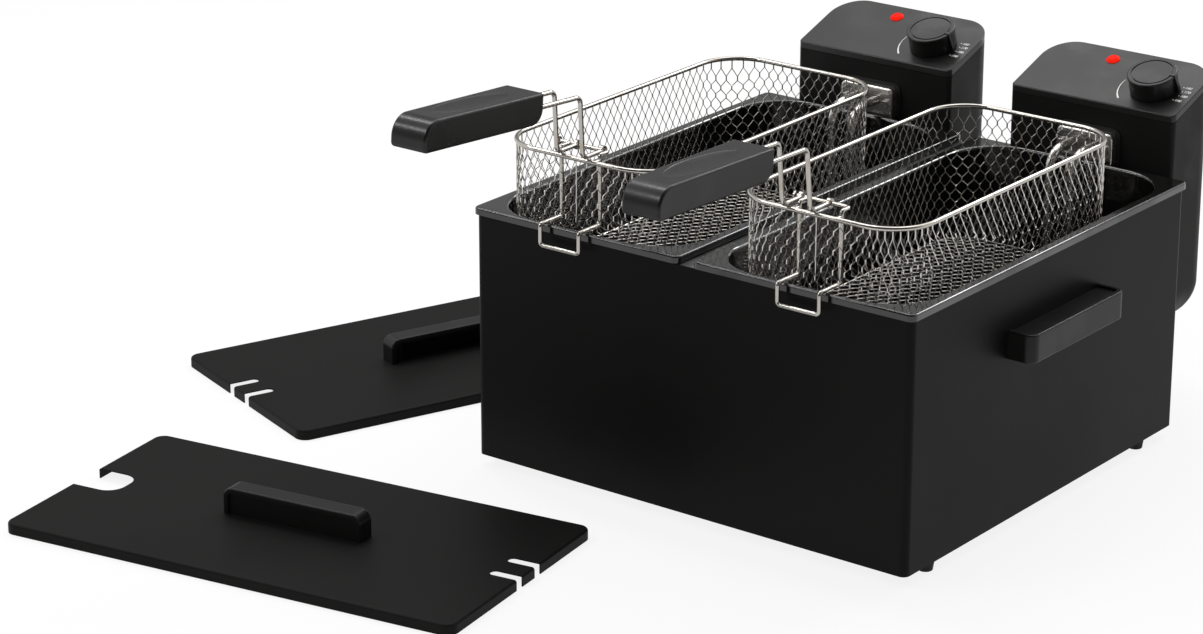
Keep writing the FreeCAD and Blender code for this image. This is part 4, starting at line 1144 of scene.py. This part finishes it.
@dataclass(frozen=True)
class Studio:
    """Pale floor, soft lights and the camera.

    Attributes:
        lens: Focal length in millimetres.
        film_width: Width of the camera's frame in millimetres.
        sight: Nearest and farthest distance that the camera sees.
        eye: Place of the camera.
        azimuth: Turn of the camera, in degrees.
        pitch: How far it looks down, in degrees.
        floor_reach: Distance from the middle of the floor to its edges.
        floor_height: Height of the floor, a hair under the feet.
        floor_grey: Grey of the matt floor.
        floor_white: Share of pure white in what is seen of it.
        room_light: Strength of the light that the room gives all round.
        aim: Point that the lamps are turned to.
        lamps: A large soft box, and three strips that draw the edges.
        dark_sides: Behind the photographer, and low at the far end of the room.
    """

    lens: float = 115.51
    film_width: float = 36.0
    sight: tuple[float, float] = (0.05, 50.0)
    eye: tuple[float, float, float] = (1.69619, -2.51588, 1.21755)
    azimuth: float = 37.609
    pitch: float = 19.942
    floor_reach: float = 30.0
    floor_height: float = -0.4 * MM
    floor_grey: float = 0.92
    floor_white: float = 0.85
    room_light: float = 0.45
    aim: tuple[float, float, float] = (0.0, 0.0, 0.15)
    lamps: tuple[SoftBox, ...] = (
        SoftBox("top", spot=(-0.2, 0.9, 2.3), size=(2.2, 2.2), power=26.0),
        SoftBox("front_strip", spot=(-1.5, -1.6, 1.9), size=(1.7, 0.2), power=15.0),
        SoftBox("rear_strip", spot=(0.25, 1.9, 1.65), size=(1.4, 0.22), power=12.0),
        SoftBox("left_strip", spot=(-1.15, 0.1, 2.2), size=(0.22, 1.4), power=12.0),
    )
    dark_sides: tuple[DarkSide, ...] = (
        DarkSide(direction=(0.5, -0.85, 0.25), edge=(0.05, 0.6), depth=0.92),
        DarkSide(direction=(-0.574, 0.745, 0.341), edge=(0.86, 0.97), depth=0.66),
    )

    def camera(self) -> None:
        """Set the camera where the photograph was taken."""
        data = bpy.data.cameras.new("camera")
        data.lens, data.sensor_width, data.sensor_fit = self.lens, self.film_width, "HORIZONTAL"
        data.clip_start, data.clip_end = self.sight
        camera = bpy.data.objects.new("camera", data)
        camera.location = self.eye
        camera.rotation_euler = (math.radians(90 - self.pitch), 0.0, math.radians(self.azimuth))
        bpy.context.scene.collection.objects.link(camera)
        bpy.context.scene.camera = camera

    def floor(self) -> None:
        """Lay a wide pale floor that keeps the fryer's shadow."""
        mesh = bmesh.new()
        bmesh.ops.create_grid(mesh, x_segments=1, y_segments=1, size=self.floor_reach)
        data = bpy.data.meshes.new("floor")
        mesh.to_mesh(data)
        mesh.free()
        shader = Shader("studio_floor")
        matt = shader.node("ShaderNodeBsdfDiffuse", None, {"Color": (*[self.floor_grey] * 3, 1.0)})
        white = shader.node("ShaderNodeEmission", None, {"Color": (1, 1, 1, 1), "Strength": 1.0})
        share = shader.seen() * self.floor_white
        mixed = shader.node("ShaderNodeMixShader", None, {0: share, 1: matt, 2: white})
        data.materials.append(shader.close(mixed))
        floor = bpy.data.objects.new("floor", data)
        floor.location.z = self.floor_height
        bpy.context.scene.collection.objects.link(floor)

    def world(self) -> None:
        """White surround with two dark sides, and a softer one for the light."""
        world = bpy.data.worlds.new("studio")
        bpy.context.scene.world = world
        sky = NodeTree(world)
        way = sky.node("ShaderNodeTexCoord", output="Generated")
        level = self.room_light + sky.seen() * (1.0 - self.room_light)
        for side in self.dark_sides:
            facing = sky.node("ShaderNodeVectorMath", {"operation": "DOT_PRODUCT"},
                              {0: way, 1: Vector(side.direction).normalized()}, output="Value")
            level = level - sky.between(facing, 0.0, side.depth, *side.edge) * sky.ray("Glossy")
        background = sky.node("ShaderNodeBackground", None, {"Color": (1, 1, 1, 1), "Strength": level})
        output = sky.tree.nodes.new("ShaderNodeOutputWorld")
        sky.tree.links.new(background.socket, output.inputs["Surface"])

    def build(self) -> None:
        """Set up the studio."""
        self.floor()
        for lamp in self.lamps:
            lamp.hang(Vector(self.aim))
        self.world()
        self.camera()
        bpy.context.scene.view_settings.view_transform = "Standard"


def control_finishes(screws: Finish) -> dict[str, Finish]:
    """Choose the finish of each part of a control unit.

    Args:
        screws: Finish of its screws.

    Returns:
        The finishes by part, and that of the dial's print.
    """
    lenses = [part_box(side.node("indicator_lens")) for side in Side]
    middles = tuple(tuple((low + high) / 2) for low, high in lenses)
    switch = MouldedPlastic("switch_plastic", (0.05, 0.045, 0.04), roughness=0.5)
    upright = (1.0, 1.0, 0.1)
    return {
        "control_housing": MouldedPlastic("control_plastic", (0.01, 0.0096, 0.0092), roughness=0.45,
                                          specular=0.1),
        "control_cover": MouldedPlastic("panel_plastic", (0.011, 0.0106, 0.0103), roughness=0.32,
                                        specular=0.36),
        "thermostat": switch,
        "thermostat_knob": MouldedPlastic("knob_plastic", (0.008, 0.0077, 0.0074), roughness=0.27,
                                          specular=0.3),
        "indicator_lens": LitLens("lamp_lens", (0.72, 0.012, 0.004), roughness=0.18, glow=1.35,
                                  middles=middles),
        "element_bracket": BrushedSteel("bracket_steel", (0.66, 0.64, 0.61), roughness=0.28),
        "bracket_gasket": DarkRubber("gasket_rubber", (0.01, 0.01, 0.01), roughness=0.6),
        "bracket_screws": screws,
        "heating_element": BrushedSteel("heater_steel", (0.6, 0.58, 0.55), roughness=0.24, lines=upright,
                                        tint=(0.3, 0.24, 0.18)),
        "thermostat_bulb": BrushedSteel("bulb_steel", (0.62, 0.6, 0.57), roughness=0.24, lines=upright),
        "thermal_cutout": switch,
        "reset_button": MouldedPlastic("reset_plastic", (0.35, 0.02, 0.015), roughness=0.35),
        "cord_gland": DarkRubber("gland_rubber", (0.012, 0.012, 0.012), roughness=0.6),
        "dial": PrintedInk("panel_plastic", (0.88, 0.87, 0.85), roughness=0.5),
    }


def main() -> None:
    """Build and dress the fryer, piece by piece."""
    logging.basicConfig(level=logging.INFO, format="%(name)s: %(message)s")
    shop = Workshop()
    # Rim, hook and handle wire get a darker colour than the net, though both are the same plating. The
    # darker colour is painted shade for the dark surroundings that the wire mirrors. The warm tint in both
    # colours is a painted reflection of fried food.
    wire = PlatedWire("basket_wire", (0.45, 0.43, 0.4), roughness=0.1)
    thin_wire = PlatedWire("basket_wire", (0.6, 0.58, 0.55), roughness=0.2)
    screws = BrushedSteel("screw_steel", (0.62, 0.61, 0.6), roughness=0.3)
    handles = MouldedPlastic("handle_plastic", (0.0075, 0.0073, 0.007), roughness=0.34, specular=0.22)
    grips = MouldedPlastic("grip_plastic", (0.0075, 0.0073, 0.007), roughness=0.3, specular=0.32)
    unit = control_finishes(screws)
    Cabinet().build(shop, handles, screws)
    for side in Side:
        OilPan(side).build(shop)
        ControlUnit(side).build(shop, unit)
        Basket(side).build(shop, wire, thin_wire)
        BasketHandle(side).build(shop, wire, grips)
        Lid(side).build(shop, handles, screws)
    Studio().build()


if __name__ == "__main__":
    main()
